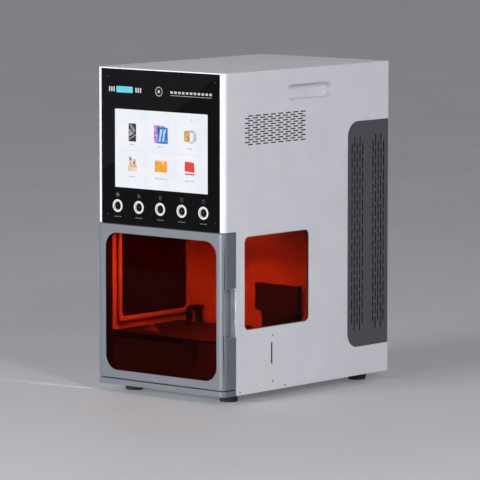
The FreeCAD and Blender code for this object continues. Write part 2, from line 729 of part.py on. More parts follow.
def lift_motor():
    sx, sy = SCREW_XY
    half = MOTOR_SIDE / 2
    body = prism("Z", FLOOR_TOP, MOTOR_TOP, (sx - half, sx + half, sy - half, sy + half), 3.0)
    return body.cut(cylinder("Z", SCREW_BOTTOM, MOTOR_TOP + 1, sx, sy, SCREW_R + RUN))


# ---------------------------------------------------------------- optics
def galvo_head():
    """Housing of the two scanning mirrors, open to the lens below and to the beam behind."""
    cx, cy = LENS_XY
    wall = 6.0
    area = (cx - HEAD_HALF, cx + HEAD_HALF, cy - HEAD_HALF, cy + HEAD_HALF)
    shell = prism("Z", DECK_TOP, HEAD_TOP, area, 4.0)
    room = prism("Z", DECK_TOP + wall, HEAD_TOP - wall, grow(area, -wall), 2.0)
    front = cy - HEAD_HALF
    back = cy + HEAD_HALF
    cuts = [room,
            cylinder("Z", DECK_TOP - 1, DECK_TOP + wall + 1, cx, cy, NECK_R),
            cylinder("Y", back - wall - 1, back + 1, BEAM_X, BEAM_Z, BEAM_HOLE_R),
            cylinder("Z", HEAD_TOP - wall - 1, HEAD_TOP + 1, BEAM_X, cy, SCANNER_R),
            cylinder("Y", front - 1, front + wall + 1, cx, BEAM_Z, SCANNER_R)]
    return shell.cut(cuts)


def galvo_motors():
    """Scanner motors: one hangs from the top of the head, one enters from its front."""
    cx, cy = LENS_XY
    bore_r = SCANNER_SHAFT_R + RUN
    upper_z = 280.0
    upper = cylinder("Z", upper_z, upper_z + 42.0, BEAM_X, cy, SCANNER_R)
    upper = upper.cut(cylinder("Z", upper_z - 1, upper_z + 10.0, BEAM_X, cy, bore_r))
    front_y = 90.0
    front = cylinder("Y", front_y - 40.0, front_y, cx, BEAM_Z, SCANNER_R)
    front = front.cut(cylinder("Y", front_y - 10.0, front_y + 1, cx, BEAM_Z, bore_r))
    return Part.makeCompound([upper, front])


def galvo_mirror_y():
    """Mirror that turns about the vertical shaft and throws the beam sideways."""
    cy = LENS_XY[1]
    half_w = 8.0
    top = BEAM_Z + 8.0
    shaft = cylinder("Z", top - 2.0, 288.0, BEAM_X, cy, SCANNER_SHAFT_R)
    plate = block(-half_w, half_w, -MIRROR_HALF_T, MIRROR_HALF_T, BEAM_Z - 10.0, top)
    plate.rotate(FreeCAD.Vector(0, 0, 0), FreeCAD.Vector(0, 0, 1), 45)
    plate.translate(FreeCAD.Vector(BEAM_X, cy, 0))
    return join([shaft, plate])


def galvo_mirror_x():
    """Mirror that turns about the front-to-back shaft and throws the beam down to the lens."""
    cx, cy = LENS_XY
    half_w = 10.0
    front = cy - 10.0
    shaft = cylinder("Y", 82.0, front + 2.0, cx, BEAM_Z, SCANNER_SHAFT_R)
    plate = block(-half_w, half_w, front, cy + 14.0, -MIRROR_HALF_T, MIRROR_HALF_T)
    plate.rotate(FreeCAD.Vector(0, cy, 0), FreeCAD.Vector(0, 1, 0), -45)
    plate.translate(FreeCAD.Vector(cx, 0, BEAM_Z))
    return join([shaft, plate])


def lens_ring():
    """Stepped barrel that hangs below the deck and holds the scan lens."""
    cx, cy = LENS_XY
    bottom = 209.4
    wall = 7.0
    barrel = cylinder("Z", bottom, UPPER_Z, cx, cy, LENS_R + wall)
    neck = cylinder("Z", UPPER_Z, DECK_TOP + 6.0, cx, cy, NECK_R)
    wide = cylinder("Z", bottom - 1, LENS_TOP, cx, cy, LENS_R)
    narrow = cylinder("Z", LENS_TOP - 1, DECK_TOP + 7.0, cx, cy, NECK_R - 3.0)
    return barrel.fuse(neck).removeSplitter().cut([wide, narrow])


def scan_lens():
    """Thick lens with a gently curved lower face."""
    cx, cy = LENS_XY
    thick = 14.0
    lowest = 213.0
    sphere_r = 90.0
    body = cylinder("Z", LENS_TOP - thick, LENS_TOP, cx, cy, LENS_R)
    ball = Part.makeSphere(sphere_r, FreeCAD.Vector(cx, cy, lowest + sphere_r))
    return body.common(ball)


def laser_source():
    """Finned aluminium case of the laser, standing on the deck behind the scan head."""
    half_w = 42.0
    front = 150.0
    back = 335.0
    top = 293.0
    wall = 3.0
    fin_t = 2.0
    fin_h = 10.0
    fin_pitch = 10.0
    left = BEAM_X - half_w
    right = BEAM_X + half_w
    case = block(left, right, front, back, DECK_TOP, top)
    room = block(left + wall, right - wall, front + wall, back - wall, DECK_TOP - 1, top - wall)
    window = cylinder("Y", front - 1, front + wall + 1, BEAM_X, BEAM_Z, BEAM_HOLE_R)
    fins = []
    for i in range(9):
        x = left + fin_t + i * fin_pitch
        fins.append(block(x, x + fin_t, front, back, top, top + fin_h))
    return join([case] + fins).cut([room, window])


# ---------------------------------------------------------------- exhaust and electronics
def exhaust_duct():
    x, z = FAN_XZ
    area = (x - DUCT_HALF, x + DUCT_HALF, z - DUCT_HALF, z + DUCT_HALF)
    outer = prism("Y", BACK_WALL_Y + THIN, FAN_Y[0], area, 3.0)
    return outer.cut(prism("Y", BACK_WALL_Y, FAN_Y[0] + 1, grow(area, -THIN), THIN))


def exhaust_fan_frame():
    """Square fan frame with a hub on four struts and a stub shaft for the rotor."""
    x, z = FAN_XZ
    area = (x - FAN_HALF, x + FAN_HALF, z - FAN_HALF, z + FAN_HALF)
    strut_y = FAN_Y[1] - 3.0
    strut_half = 1.5
    reach = FAN_BORE_R + 1.0
    ring = prism("Y", *FAN_Y, area, 4.0).cut(cylinder("Y", FAN_Y[0] - 1, FAN_Y[1] + 1, x, z, FAN_BORE_R))
    pieces = [ring,
              cylinder("Y", strut_y, FAN_Y[1], x, z, FAN_HUB_R),
              cylinder("Y", strut_y - 11.0, strut_y, x, z, FAN_SHAFT_R),
              block(x - reach, x + reach, strut_y, FAN_Y[1], z - strut_half, z + strut_half),
              block(x - strut_half, x + strut_half, strut_y, FAN_Y[1], z - reach, z + reach)]
    return join(pieces)


def exhaust_fan_rotor():
    """Hub with seven pitched blades."""
    x, z = FAN_XZ
    blades = 7
    pitch_angle = 38
    half_t = 0.9
    front = 337.0
    back = 354.5
    bore_front = 344.5
    tip_r = 35.5
    centre = FreeCAD.Vector(x, 0, z)
    middle = FreeCAD.Vector(x, (front + back) / 2, z)
    hub_r = FAN_HUB_R - 0.5
    pieces = [cylinder("Y", front, back, x, z, hub_r)]
    for i in range(blades):
        blade = block(x - half_t, x + half_t, front + 1.5, back - 1.5, z + hub_r - 2.5, z + tip_r)
        blade.rotate(middle, FreeCAD.Vector(0, 0, 1), pitch_angle)
        blade.rotate(centre, FreeCAD.Vector(0, 1, 0), i * 360.0 / blades)
        pieces.append(blade)
    return join(pieces).cut(cylinder("Y", bore_front, back + 1, x, z, FAN_SHAFT_R + RUN))


def power_supply():
    """Folded case of the power supply, open underneath, with slots in its top."""
    x0, x1, y0, y1, z1 = 14.0, 104.0, 205.0, 325.0, 62.0
    wall = 1.5
    margin = 14.0
    slot_w = 4.0
    slot_pitch = 11.0
    case = block(x0, x1, y0, y1, SHEET, z1)
    cuts = [block(x0 + wall, x1 - wall, y0 + wall, y1 - wall, SHEET - 1, z1 - wall)]
    for i in range(9):
        y = y0 + margin + i * slot_pitch
        cuts.append(block(x0 + margin, x1 - margin, y, y + slot_w, z1 - wall - 1, z1 + 1))
    return case.cut(cuts)


def main_board():
    """Controller board on four posts, with its processor, terminal block and capacitors."""
    x0, x1, y0, y1 = 12.0, 78.0, 200.0, 330.0
    z = DECK_TOP + 6.0
    board_t = 1.6
    top = z + board_t
    post_inset = 5.0
    pieces = [block(x0, x1, y0, y1, z, top)]
    for x in (x0 + post_inset, x1 - post_inset):
        for y in (y0 + post_inset, y1 - post_inset):
            pieces.append(cylinder("Z", DECK_TOP, z, x, y, 2.5))
    processor = (x0 + 14.0, x0 + 44.0, y0 + 45.0, y0 + 75.0)
    terminals = (x0 + 8.0, x1 - 8.0, y1 - 24.0, y1 - 14.0)
    pieces.append(prism("Z", top, top + 7.4, processor))
    pieces.append(prism("Z", top, top + 11.4, terminals))
    capacitor_pitch = 13.0
    for i in range(4):
        x = x0 + 12.0 + i * capacitor_pitch
        pieces.append(cylinder("Z", top, top + 14.4, x, y0 + 20.0, 4.5))
    return join(pieces)


def inlet_module():
    """Mains inlet with three blades, and the housing of its rocker switch."""
    x, z = INLET_XZ
    half_x, half_z = INLET_HALF
    lap = 3.0
    body_y = 338.0
    socket_floor = 344.0
    bay_floor = 346.0
    flange = prism("Y", REAR_Y, BODY_D, grow((x - half_x, x + half_x, z - half_z, z + half_z), lap), lap)
    body = block(x - half_x, x + half_x, body_y, REAR_Y, z - half_z, z + half_z)
    bay = (ROCKER_X[0] - 1.0, ROCKER_X[1] + 1.0, z - 10.0, z + 10.0)
    axle_hole = cylinder("X", ROCKER_X[0] - 3.5, ROCKER_X[1] + 3.5, ROCKER_Y, z, ROCKER_AXLE_R + RUN)
    cuts = [prism("Y", socket_floor, BODY_D + 1, SOCKET, (4.0, 4.0, 1.0, 1.0)),
            prism("Y", bay_floor, BODY_D + 1, bay),
            axle_hole]
    shell = join([flange, body]).cut(cuts)
    socket_x = (SOCKET[0] + SOCKET[1]) / 2
    tip = BODY_D - 4.0
    blades = []
    for dx, dz in ((-7.0, -2.0), (7.0, -2.0), (0.0, 2.0)):
        bx = socket_x + dx
        bz = z + dz
        blades.append(block(bx - 1.0, bx + 1.0, socket_floor, tip, bz - 2.0, bz + 2.0))
    return join([shell] + blades)


def power_rocker():
    """Rocker with a shallow V face and its axle, resting in the off position."""
    z = INLET_XZ[1]
    outline = [(-4.0, -8.0), (-4.0, 8.0), (6.0, 8.5), (4.8, 0.0), (6.0, -8.5)]
    face = polygon("X", *ROCKER_X, [(ROCKER_Y + dy, z + dz) for dy, dz in outline])
    axle = cylinder("X", ROCKER_X[0] - 3.0, ROCKER_X[1] + 3.0, ROCKER_Y, z, ROCKER_AXLE_R)
    rocker = join([face, axle])
    rocker.rotate(FreeCAD.Vector(0, ROCKER_Y, z), FreeCAD.Vector(1, 0, 0), ROCKER_TILT)
    return rocker


# ---------------------------------------------------------------- assembly
def pieces():
    """Every piece of the machine, by node name."""
    right_pane = window_pane()
    right_vent = vent_panel()
    right_cover = side_cover(DOOR_D + 2 * FIT, GLASS[1] + GLASS_GAP)
    left_cover = mirrored(side_cover(2 * HINGE[1] + 4 * FIT, BODY_W - GLASS[0] + GLASS_GAP))
    named = {
        "front_sill": front_sill(),
        "base_plate": base_plate(),
        "feet": feet(),
        "right_side_cover": right_cover,
        "left_side_cover": left_cover,
        "right_vent_panel": right_vent,
        "left_vent_panel": mirrored(right_vent),
        "top_cover": top_cover(),
        "rear_panel": rear_panel(),
        "cover_screws": cover_screws(),
        "handle_cups": handle_cups(),
        "right_window_pane": right_pane,
        "left_window_pane": mirrored(right_pane),
        "window_retainers": window_retainers(),
        "chamber_back_wall": chamber_back_wall(),
        "chamber_floor": chamber_floor(),
        "lens_deck": lens_deck(),
        "led_strips": led_strips(),
        "fume_hood": fume_hood(),
        "front_glass": front_glass(),
        "front_screws": front_screws(),
        "panel_backing": panel_backing(),
        "touch_display": touch_display(),
        "button_bodies": button_bodies(),
        "door_frame": door_frame(),
        "door_window": door_window(),
        "door_inner_frame": door_inner_frame(),
        "door_grip_insert": door_grip_insert(),
        "door_hinge_pins": door_hinge_pins(),
        "door_strike": door_strike(),
        "hinge_bushes": hinge_bushes(),
        "door_magnet": door_magnet(),
        "lift_table": lift_table(),
        "lift_bearings": lift_bearings(),
        "lead_nut": lead_nut(),
        "height_pointers": height_pointers(),
        "corner_stop": corner_stop(),
        "guide_rods": guide_rods(),
        "rod_brackets": rod_brackets(),
        "lead_screw": lead_screw(),
        "lift_motor": lift_motor(),
        "galvo_head": galvo_head(),
        "galvo_motors": galvo_motors(),
        "galvo_mirror_x": galvo_mirror_x(),
        "galvo_mirror_y": galvo_mirror_y(),
        "lens_ring": lens_ring(),
        "scan_lens": scan_lens(),
        "laser_source": laser_source(),
        "exhaust_duct": exhaust_duct(),
        "exhaust_fan_frame": exhaust_fan_frame(),
        "exhaust_fan_rotor": exhaust_fan_rotor(),
        "power_supply": power_supply(),
        "main_board": main_board(),
        "inlet_module": inlet_module(),
        "power_rocker": power_rocker(),
    }
    for name, x in zip(BUTTON_NAMES, BUTTON_X):
        named[name] = button_cap(x)
    return named


def write_all():
    os.makedirs("parts", exist_ok=True)
    to_part_frame = FreeCAD.Vector(-BODY_W / 2, -BODY_D / 2, FOOT_H)
    for name, shape in pieces().items():
        shape.translate(to_part_frame)
        shape.exportStep("parts/" + name + ".step")


write_all()
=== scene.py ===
import math

import bmesh
import bpy
from mathutils import Matrix, Vector


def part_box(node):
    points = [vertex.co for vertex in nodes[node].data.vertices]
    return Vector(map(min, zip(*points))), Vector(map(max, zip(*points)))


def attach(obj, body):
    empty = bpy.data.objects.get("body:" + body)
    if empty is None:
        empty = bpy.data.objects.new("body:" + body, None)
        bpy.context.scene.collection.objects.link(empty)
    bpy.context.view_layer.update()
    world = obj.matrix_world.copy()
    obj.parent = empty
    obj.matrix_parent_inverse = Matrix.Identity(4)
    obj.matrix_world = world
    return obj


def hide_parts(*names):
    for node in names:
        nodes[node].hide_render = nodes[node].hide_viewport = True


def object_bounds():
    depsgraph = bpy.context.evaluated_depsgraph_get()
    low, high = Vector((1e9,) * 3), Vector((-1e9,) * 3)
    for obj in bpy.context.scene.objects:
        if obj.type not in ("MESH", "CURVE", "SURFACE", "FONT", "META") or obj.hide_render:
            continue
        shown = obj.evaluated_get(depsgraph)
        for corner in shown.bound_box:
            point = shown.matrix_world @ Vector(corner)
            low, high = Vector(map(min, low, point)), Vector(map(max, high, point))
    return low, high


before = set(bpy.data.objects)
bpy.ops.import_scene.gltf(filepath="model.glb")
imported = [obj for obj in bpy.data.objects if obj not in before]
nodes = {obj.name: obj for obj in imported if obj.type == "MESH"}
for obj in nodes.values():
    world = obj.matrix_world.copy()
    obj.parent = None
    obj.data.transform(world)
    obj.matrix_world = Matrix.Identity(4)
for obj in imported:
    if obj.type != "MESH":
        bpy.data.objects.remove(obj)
cad_low, cad_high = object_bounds()

MM = 0.001
CENTRE = (cad_low + cad_high) / 2


# ---------------------------------------------------------------- materials
class Finish:
    """A material: its Principled shader and the patterns, in metres, that are wired into it."""

    def __init__(self, name, roughness, metallic=0.0):
        self.material = bpy.data.materials.new(name)
        self.material.use_nodes = True
        self.tree = self.material.node_tree
        self.shader = self.tree.nodes["Principled BSDF"]
        self.place = self.tree.nodes.new("ShaderNodeTexCoord").outputs["Object"]
        self.set("Roughness", roughness)
        self.set("Metallic", metallic)

    def set(self, socket, value):
        self.shader.inputs[socket].default_value = value

    def link(self, output, socket):
        self.tree.links.new(output, self.shader.inputs[socket])

    def node(self, kind, **inputs):
        made = self.tree.nodes.new("ShaderNode" + kind)
        for name, value in inputs.items():
            socket = made.inputs[name.replace("_", " ")]
            if isinstance(value, bpy.types.NodeSocket):
                self.tree.links.new(value, socket)
            else:
                socket.default_value = value
        return made

    def stretched(self, stretch):
        return self.node("Mapping", Vector=self.place, Scale=stretch).outputs["Vector"]

    def noise(self, size, detail=3.0, stretch=(1.0, 1.0, 1.0)):
        """Soft cloud pattern with blotches about size metres across, drawn out where stretch is small."""
        made = self.node("TexNoise", Vector=self.stretched(stretch), Scale=1.0 / size, Detail=detail)
        return made.outputs["Fac"]

    def cells(self, size):
        made = self.node("TexVoronoi", Vector=self.place, Scale=1.0 / size)
        return made.outputs["Distance"]

    def remap(self, value, low, high):
        """Stretch the middle of a pattern, where nearly all of it lies, over low to high."""
        made = self.node("MapRange", Value=value, From_Min=0.3, From_Max=0.7, To_Min=low, To_Max=high)
        return made.outputs["Result"]

    def ramp(self, value, *stops):
        """Colour from a pattern. Each stop is (position, colour)."""
        made = self.node("ValToRGB", Fac=value)
        ramp = made.color_ramp
        for _ in stops[2:]:
            ramp.elements.new(0.5)
        for element, (position, colour) in zip(ramp.elements, stops):
            element.position = position
            element.color = (*colour, 1.0)
        return made.outputs["Color"]

    def add(self, first, second, share):
        """first plus share of second."""
        scaled = self.node("Math", Value=second)
        scaled.operation = "MULTIPLY"
        scaled.inputs[1].default_value = share
        total = self.node("Math", Value=first)
        total.operation = "ADD"
        self.tree.links.new(scaled.outputs["Value"], total.inputs[1])
        return total.outputs["Value"]

    def colour(self, value, *stops):
        self.link(self.ramp(value, *stops), "Base Color")

    def rough(self, value, low, high):
        self.link(self.remap(value, low, high), "Roughness")

    def bump(self, height, depth):
        made = self.node("Bump", Height=height, Distance=depth, Strength=1.0)
        self.link(made.outputs["Normal"], "Normal")


def shade(colour, factor):
    return tuple(min(1.0, channel * factor) for channel in colour)


def coated(name, colour, roughness, grain=0.9 * MM, depth=0.03 * MM, spread=0.03, metallic=0.0):
    """Powder coat or paint: fine orange peel, slow changes of tone and a few handling marks."""
    finish = Finish(name, roughness, metallic)
    tone = finish.noise(60 * MM, 4.0)
    finish.colour(tone, (0.3, shade(colour, 1 - spread)), (0.7, shade(colour, 1 + spread)))
    marks = finish.noise(14 * MM, 5.0)
    finish.rough(marks, roughness - 0.06, roughness + 0.08)
    peel = finish.add(finish.noise(grain, 2.0), finish.noise(grain * 5, 1.0), 0.6)
    finish.bump(peel, depth)
    return finish


def moulded(name, colour, roughness, grain=0.5 * MM):
    """Plastic or rubber with a spark-eroded texture."""
    finish = Finish(name, roughness)
    finish.colour(finish.noise(25 * MM, 4.0), (0.3, shade(colour, 0.85)), (0.7, shade(colour, 1.15)))
    finish.rough(finish.noise(6 * MM, 4.0), roughness - 0.08, roughness + 0.1)
    finish.bump(finish.cells(grain), 0.04 * MM)
    return finish


def machined(name, colour, roughness, drawn=(1.0, 1.0, 0.04), line=0.35 * MM, metallic=1.0):
    """Metal with fine tool or brush lines along the axis where drawn is small."""
    finish = Finish(name, roughness, metallic)
    lines = finish.noise(line, 3.0, drawn)
    finish.colour(lines, (0.25, shade(colour, 0.82)), (0.75, shade(colour, 1.1)))
    smudges = finish.noise(18 * MM, 4.0)
    finish.rough(finish.add(lines, smudges, 0.6), roughness - 0.08, roughness + 0.12)
    finish.bump(lines, 0.012 * MM)
    return finish


def glossy(name, colour, roughness):
    """Polished glass or plastic with faint finger marks and a hint of waviness."""
    finish = Finish(name, roughness)
    smears = finish.noise(22 * MM, 5.0, (1.0, 1.0, 0.45))
    finish.colour(smears, (0.2, shade(colour, 0.9)), (0.8, shade(colour, 1.12)))
    finish.rough(smears, roughness * 0.7, roughness * 1.8)
    finish.bump(finish.noise(45 * MM, 1.0), 0.02 * MM)
    return finish


def dark_glass(name, colour):
    """Black glass with an anti-glare coat that halves its reflections."""
    finish = glossy(name, colour, 0.012)
    finish.set("Specular IOR Level", 0.25)
    return finish


def clear(name, colour, roughness, ior):
    """Tinted see-through sheet or lens."""
    finish = glossy(name, colour, roughness)
    finish.set("Transmission Weight", 1.0)
    finish.set("IOR", ior)
    return finish


def lit(name, low, high, strength=1.0, blotch=30 * MM):
    """Glowing surface whose glow drifts between two tones: a back-lit screen or light bar, and painted glow
    on the bezel rings and the cyan pill.
    """
    finish = Finish(name, 0.15)
    finish.set("Base Color", (0.01, 0.01, 0.01, 1.0))
    tone = finish.ramp(finish.noise(blotch, 1.0), (0.3, low), (0.7, high))
    finish.link(tone, "Emission Color")
    finish.set("Emission Strength", strength)
    return finish


def printed(name, colour):
    """Ink on the front glass, with the faint grain of a screen print."""
    finish = Finish(name, 0.35)
    finish.colour(finish.noise(0.6 * MM, 3.0), (0.2, shade(colour, 0.8)), (0.8, colour))
    finish.rough(finish.noise(4 * MM, 3.0), 0.3, 0.45)
    return finish


AMBER = (0.20, 0.0075, 0.0004)
AMBER_IOR = 1.14                     # below acrylic's, so that reflections stay weak
AMBER_SHEEN = (0.7, 0.25, 0.2, 1.0)


def painted_shade_black():
    """Painted shade: matt black that stands in for the shade inside a slot, so that it shows as a dark
    opening.
    """
    finish = moulded("slot_painted_shade", (0.002, 0.002, 0.002), 0.8)
    finish.set("Specular IOR Level", 0.1)
    return finish


def amber_sheet():
    """Laser-safe acrylic. Its surface reflections are weak and warm, so that the chamber shows through."""
    finish = clear("amber_acrylic", AMBER, 0.03, AMBER_IOR)
    finish.set("Specular Tint", AMBER_SHEEN)
    return finish


def slot_finishes():
    """The finish of each material slot of the record."""
    silver = (0.170, 0.187, 0.211)
    return {
        "white_cover": coated("white_powder_coat", (0.80, 0.80, 0.825), 0.38),
        "door_silver": coated("silver_paint", silver, 0.36, grain=0.5 * MM, depth=0.004 * MM, metallic=0.3),
        "grip_grey": moulded("grey_grip", (0.26, 0.275, 0.30), 0.45),
        "vent_grey": coated("grey_powder_coat", (0.080, 0.080, 0.095), 0.5, grain=0.7 * MM, depth=0.05 * MM),
        "black_glass": dark_glass("black_glass", (0.004, 0.004, 0.0045)),
        "display_screen": lit("screen", (0.80, 0.83, 0.90), (0.87, 0.89, 0.94)),
        "amber_acrylic": amber_sheet(),
        # painted glow: the white bezel rings are given light of their own
        "bezel_white": lit("bezel_painted_glow", (0.85, 0.85, 0.85), (0.95, 0.94, 0.93), 0.9, 6 * MM),
        "button_red": dark_glass("button_red", (0.010, 0.002, 0.003)),
        "black_trim": moulded("black_trim", (0.012, 0.012, 0.013), 0.45),
        "foot_rubber": moulded("foot_rubber", (0.02, 0.02, 0.02), 0.75, 0.8 * MM),
        "chamber_paint": coated("chamber_paint", (0.74, 0.73, 0.72), 0.45, spread=0.06),
        "hood_black": coated("hood_black", (0.03, 0.03, 0.034), 0.5),
        "plain_steel": machined("plain_steel", (0.50, 0.51, 0.53), 0.35),
        "polished_rod": machined("polished_rod", (0.72, 0.73, 0.75), 0.14, (0.05, 0.05, 1.0)),
        "screw_brass": machined("screw_brass", (0.68, 0.48, 0.2), 0.3, (0.1, 0.1, 1.0)),
        "table_anodised": machined("table_anodised", (0.085, 0.08, 0.085), 0.38, (0.05, 1.0, 1.0)),
        "cast_aluminium": machined("cast_aluminium", (0.56, 0.57, 0.59), 0.4, (1.0, 1.0, 1.0), 0.8 * MM),
        "black_anodised": machined("black_anodised", (0.02, 0.02, 0.023), 0.4, (0.1, 1.0, 1.0),
                                   metallic=0.6),
        "lens_glass": clear("lens_glass", (0.80, 0.86, 0.95), 0.02, 1.6),
        "led_diffuser": lit("led_diffuser", (0.95, 0.93, 0.88), (1.0, 0.98, 0.95), 0.8),
        "board_green": coated("board_green", (0.01, 0.10, 0.04), 0.35, spread=0.15),
        "fan_black": moulded("fan_black", (0.018, 0.018, 0.02), 0.5),
        "mirror_coating": machined("mirror_coating", (0.84, 0.80, 0.72), 0.05, (1.0, 1.0, 1.0), 3 * MM),
    }


# ---------------------------------------------------------------- edges of the sheet metal and castings
SOFT_EDGES = {          # width in mm
    "front_glass": 0.12, "door_window": 0.15, "right_window_pane": 0.2, "left_window_pane": 0.2,
    "button_bodies": 0.2, "fume_hood": 0.3, "lens_ring": 0.4, "inlet_module": 0.3, "power_rocker": 0.3,
    "door_inner_frame": 0.3, "window_retainers": 0.3, "lift_table": 0.4, "corner_stop": 0.4,
    "rod_brackets": 0.4, "door_grip_insert": 0.4, "guide_rods": 0.5, "handle_cups": 0.5,
    "front_sill": 0.5, "door_frame": 0.6, "feet": 0.8,
}
EDGE_ANGLE = math.radians(35)      # sharper corners than this are rounded
FLAT_ANGLE = math.radians(0.5)     # faces this flat to each other become one
TOUCH = 0.001 * MM                 # points this close are one


def soften(node, width):
    """Small rounded edge on a CAD piece, with even shading over its flat faces."""
    weld = node.modifiers.new("weld", "WELD")
    weld.merge_threshold = TOUCH
    flat = node.modifiers.new("flat", "DECIMATE")
    flat.decimate_type = "DISSOLVE"
    flat.angle_limit = FLAT_ANGLE
    bevel = node.modifiers.new("bevel", "BEVEL")
    bevel.width = width
    bevel.segments = 2
    bevel.limit_method = "ANGLE"
    bevel.angle_limit = EDGE_ANGLE
    bevel.use_clamp_overlap = False
    normals = node.modifiers.new("normals", "WEIGHTED_NORMAL")
    normals.keep_sharp = False


# ---------------------------------------------------------------- shapes
def circle(x, z, radius, count=32):
    step = 2 * math.pi / count
    return [(x + radius * math.cos(i * step), z + radius * math.sin(i * step)) for i in range(count)]


def rectangle(x0, x1, z0, z1):
    return [(x0, z0), (x1, z0), (x1, z1), (x0, z1)]


def rounded(x0, x1, z0, z1, radius, steps=5):
    points = []
    centres = ((x1 - radius, z0 + radius), (x1 - radius, z1 - radius),
               (x0 + radius, z1 - radius), (x0 + radius, z0 + radius))
    for quarter, (cx, cz) in enumerate(centres):
        for i in range(steps + 1):
            angle = math.pi / 2 * (quarter - 1 + i / steps)
            points.append((cx + radius * math.cos(angle), cz + radius * math.sin(angle)))
    return points


def turned(points, degrees, about):
    c = math.cos(math.radians(degrees))
    s = math.sin(math.radians(degrees))
    moved = [(x - about[0], z - about[1]) for x, z in points]
    return [(about[0] + x * c - z * s, about[1] + x * s + z * c) for x, z in moved]


class Shell:
    """Closed shapes that together make one mesh, in metres."""

    def __init__(self):
        self.verts = []
        self.faces = []

    def ring(self, points):
        start = len(self.verts)
        self.verts.extend(points)
        return list(range(start, start + len(points)))

    def between(self, first, second):
        for i, a in enumerate(first):
            j = (i + 1) % len(first)
            self.faces.append((a, second[i], second[j], first[j]))

    def extrude(self, points, along, hole=None):
        """Prism from a flat ring of points. A hole has as many points as its outline."""
        start = self.ring(points)
        end = self.ring([point + along for point in points])
        self.between(start, end)
        if hole is None:
            self.faces.append(start)
            self.faces.append(end)
            return
        inner_start = self.ring(hole)
        inner_end = self.ring([point + along for point in hole])
        self.between(inner_start, inner_end)
        self.between(start, inner_start)
        self.between(end, inner_end)

    def stack(self, rings):
        """Skin over a stack of rings that have the same number of points, closed at both ends."""
        placed = [self.ring(points) for points in rings]
        for first, second in zip(placed, placed[1:]):
            self.between(first, second)
        self.faces.append(placed[0])
        self.faces.append(placed[-1])

    def piece(self, name, finish, body, slot=None):
        mesh = bpy.data.meshes.new(name)
        mesh.from_pydata(self.verts, [], self.faces)
        work = bmesh.new()
        work.from_mesh(mesh)
        bmesh.ops.recalc_face_normals(work, faces=work.faces)
        work.to_mesh(mesh)
        work.free()
        mesh.materials.append(finish.material)
        made = bpy.data.objects.new(name, mesh)
        bpy.context.scene.collection.objects.link(made)
        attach(made, body)
        return made


class Relief(Shell):
    """Thin shapes on a face that looks to the front. Sizes are in mm from that face's lower left corner."""

    SUNK = 0.05

    def __init__(self, corner, proud=0.06):
        super().__init__()
        self.corner = corner
        self.proud = proud

    def add(self, points, hole=None, layer=0):
        front = -self.proud * (1 + layer)
        along = Vector((0, self.SUNK - front, 0)) * MM
        flat = [self.corner + Vector((x, front, z)) * MM for x, z in points]
        inside = hole and [self.corner + Vector((x, front, z)) * MM for x, z in hole]
        self.extrude(flat, along, inside)
        return self


def islands(node):
    """Boxes of the separate solids of a CAD node, as (lowest corner, highest corner)."""
    work = bmesh.new()
    work.from_mesh(node.data)
    bmesh.ops.remove_doubles(work, verts=work.verts, dist=TOUCH)
    seen = set()
    boxes = []
    for first in work.verts:
        if first in seen:
            continue
        seen.add(first)
        group = [first]
        for vert in group:
            for edge in vert.link_edges:
                other = edge.other_vert(vert)
                if other not in seen:
                    seen.add(other)
                    group.append(other)
        low = Vector([min(vert.co[k] for vert in group) for k in range(3)])
        high = Vector([max(vert.co[k] for vert in group) for k in range(3)])
        boxes.append((low, high))
    work.free()
    return boxes


# ---------------------------------------------------------------- display, sizes in mm
SCREEN_INSET = 1.9                     # border between the module's edge and its lit screen
SCREEN_COLUMNS = (0.19, 0.50, 0.81)    # middles of the pictures, as shares of the width from the left
SCREEN_ROWS = (0.29, 0.68)             # and of the height from the top
LABEL_ROWS = (0.447, 0.854)
LABEL_WIDTHS = ((9.0, 10.0, 10.0), (13.5, 24.0, 16.0))
LABEL_BAR = 5.0                        # about the length of one bar of a label
MARGIN = 0.08                          # dividers keep this share away from the screen's edge


def show(relief, name, low, high):
    """Make one colour of a screen picture from its shapes."""
    name = "screen_" + name
    relief.piece(name, lit(name, low, high, 1.0, 6 * MM), "cabinet", "display_screen")


def show_phone(corner, x, z):
    body = Relief(corner).add(rounded(x - 7, x + 7, z - 12.7, z + 12.7, 1.2))
    show(body, "phone", (0.012, 0.012, 0.014), (0.03, 0.03, 0.034))
    facets = Relief(corner)
    facets.add([(x - 6, z + 11), (x - 1, z + 11.5), (x + 5.5, z + 3), (x + 3, z)], layer=1)
    facets.add([(x - 6, z + 4), (x - 5, z + 5), (x + 3, z - 1), (x - 6, z - 6)], layer=1)
    facets.add([(x - 6, z - 11), (x - 6, z - 9), (x + 6, z - 2), (x + 6, z - 4)], layer=1)
    show(facets, "phone_facets", (0.20, 0.21, 0.23), (0.42, 0.43, 0.45))


def show_tablets(corner, x, z):
    back = Relief(corner).add(rounded(x - 13, x + 8, z - 12.5, z + 12.5, 2.0))
    show(back, "tablet_back", (0.28, 0.10, 0.42), (0.62, 0.42, 0.80))
    front = Relief(corner).add(rounded(x - 6, x + 13, z - 12.8, z + 10, 1.8), layer=1)
    show(front, "tablet_front", (0.03, 0.07, 0.36), (0.07, 0.26, 0.72))
    waves = Relief(corner)
    for start in (x - 3.0, x + 3.5):
        wave = [(start - 1, z - 10), (start + 2, z - 10), (start + 6.5, z + 8), (start + 2, z + 7)]
        waves.add(wave, layer=2)
    show(waves, "tablet_waves", (0.32, 0.62, 0.86), (0.52, 0.80, 0.94))


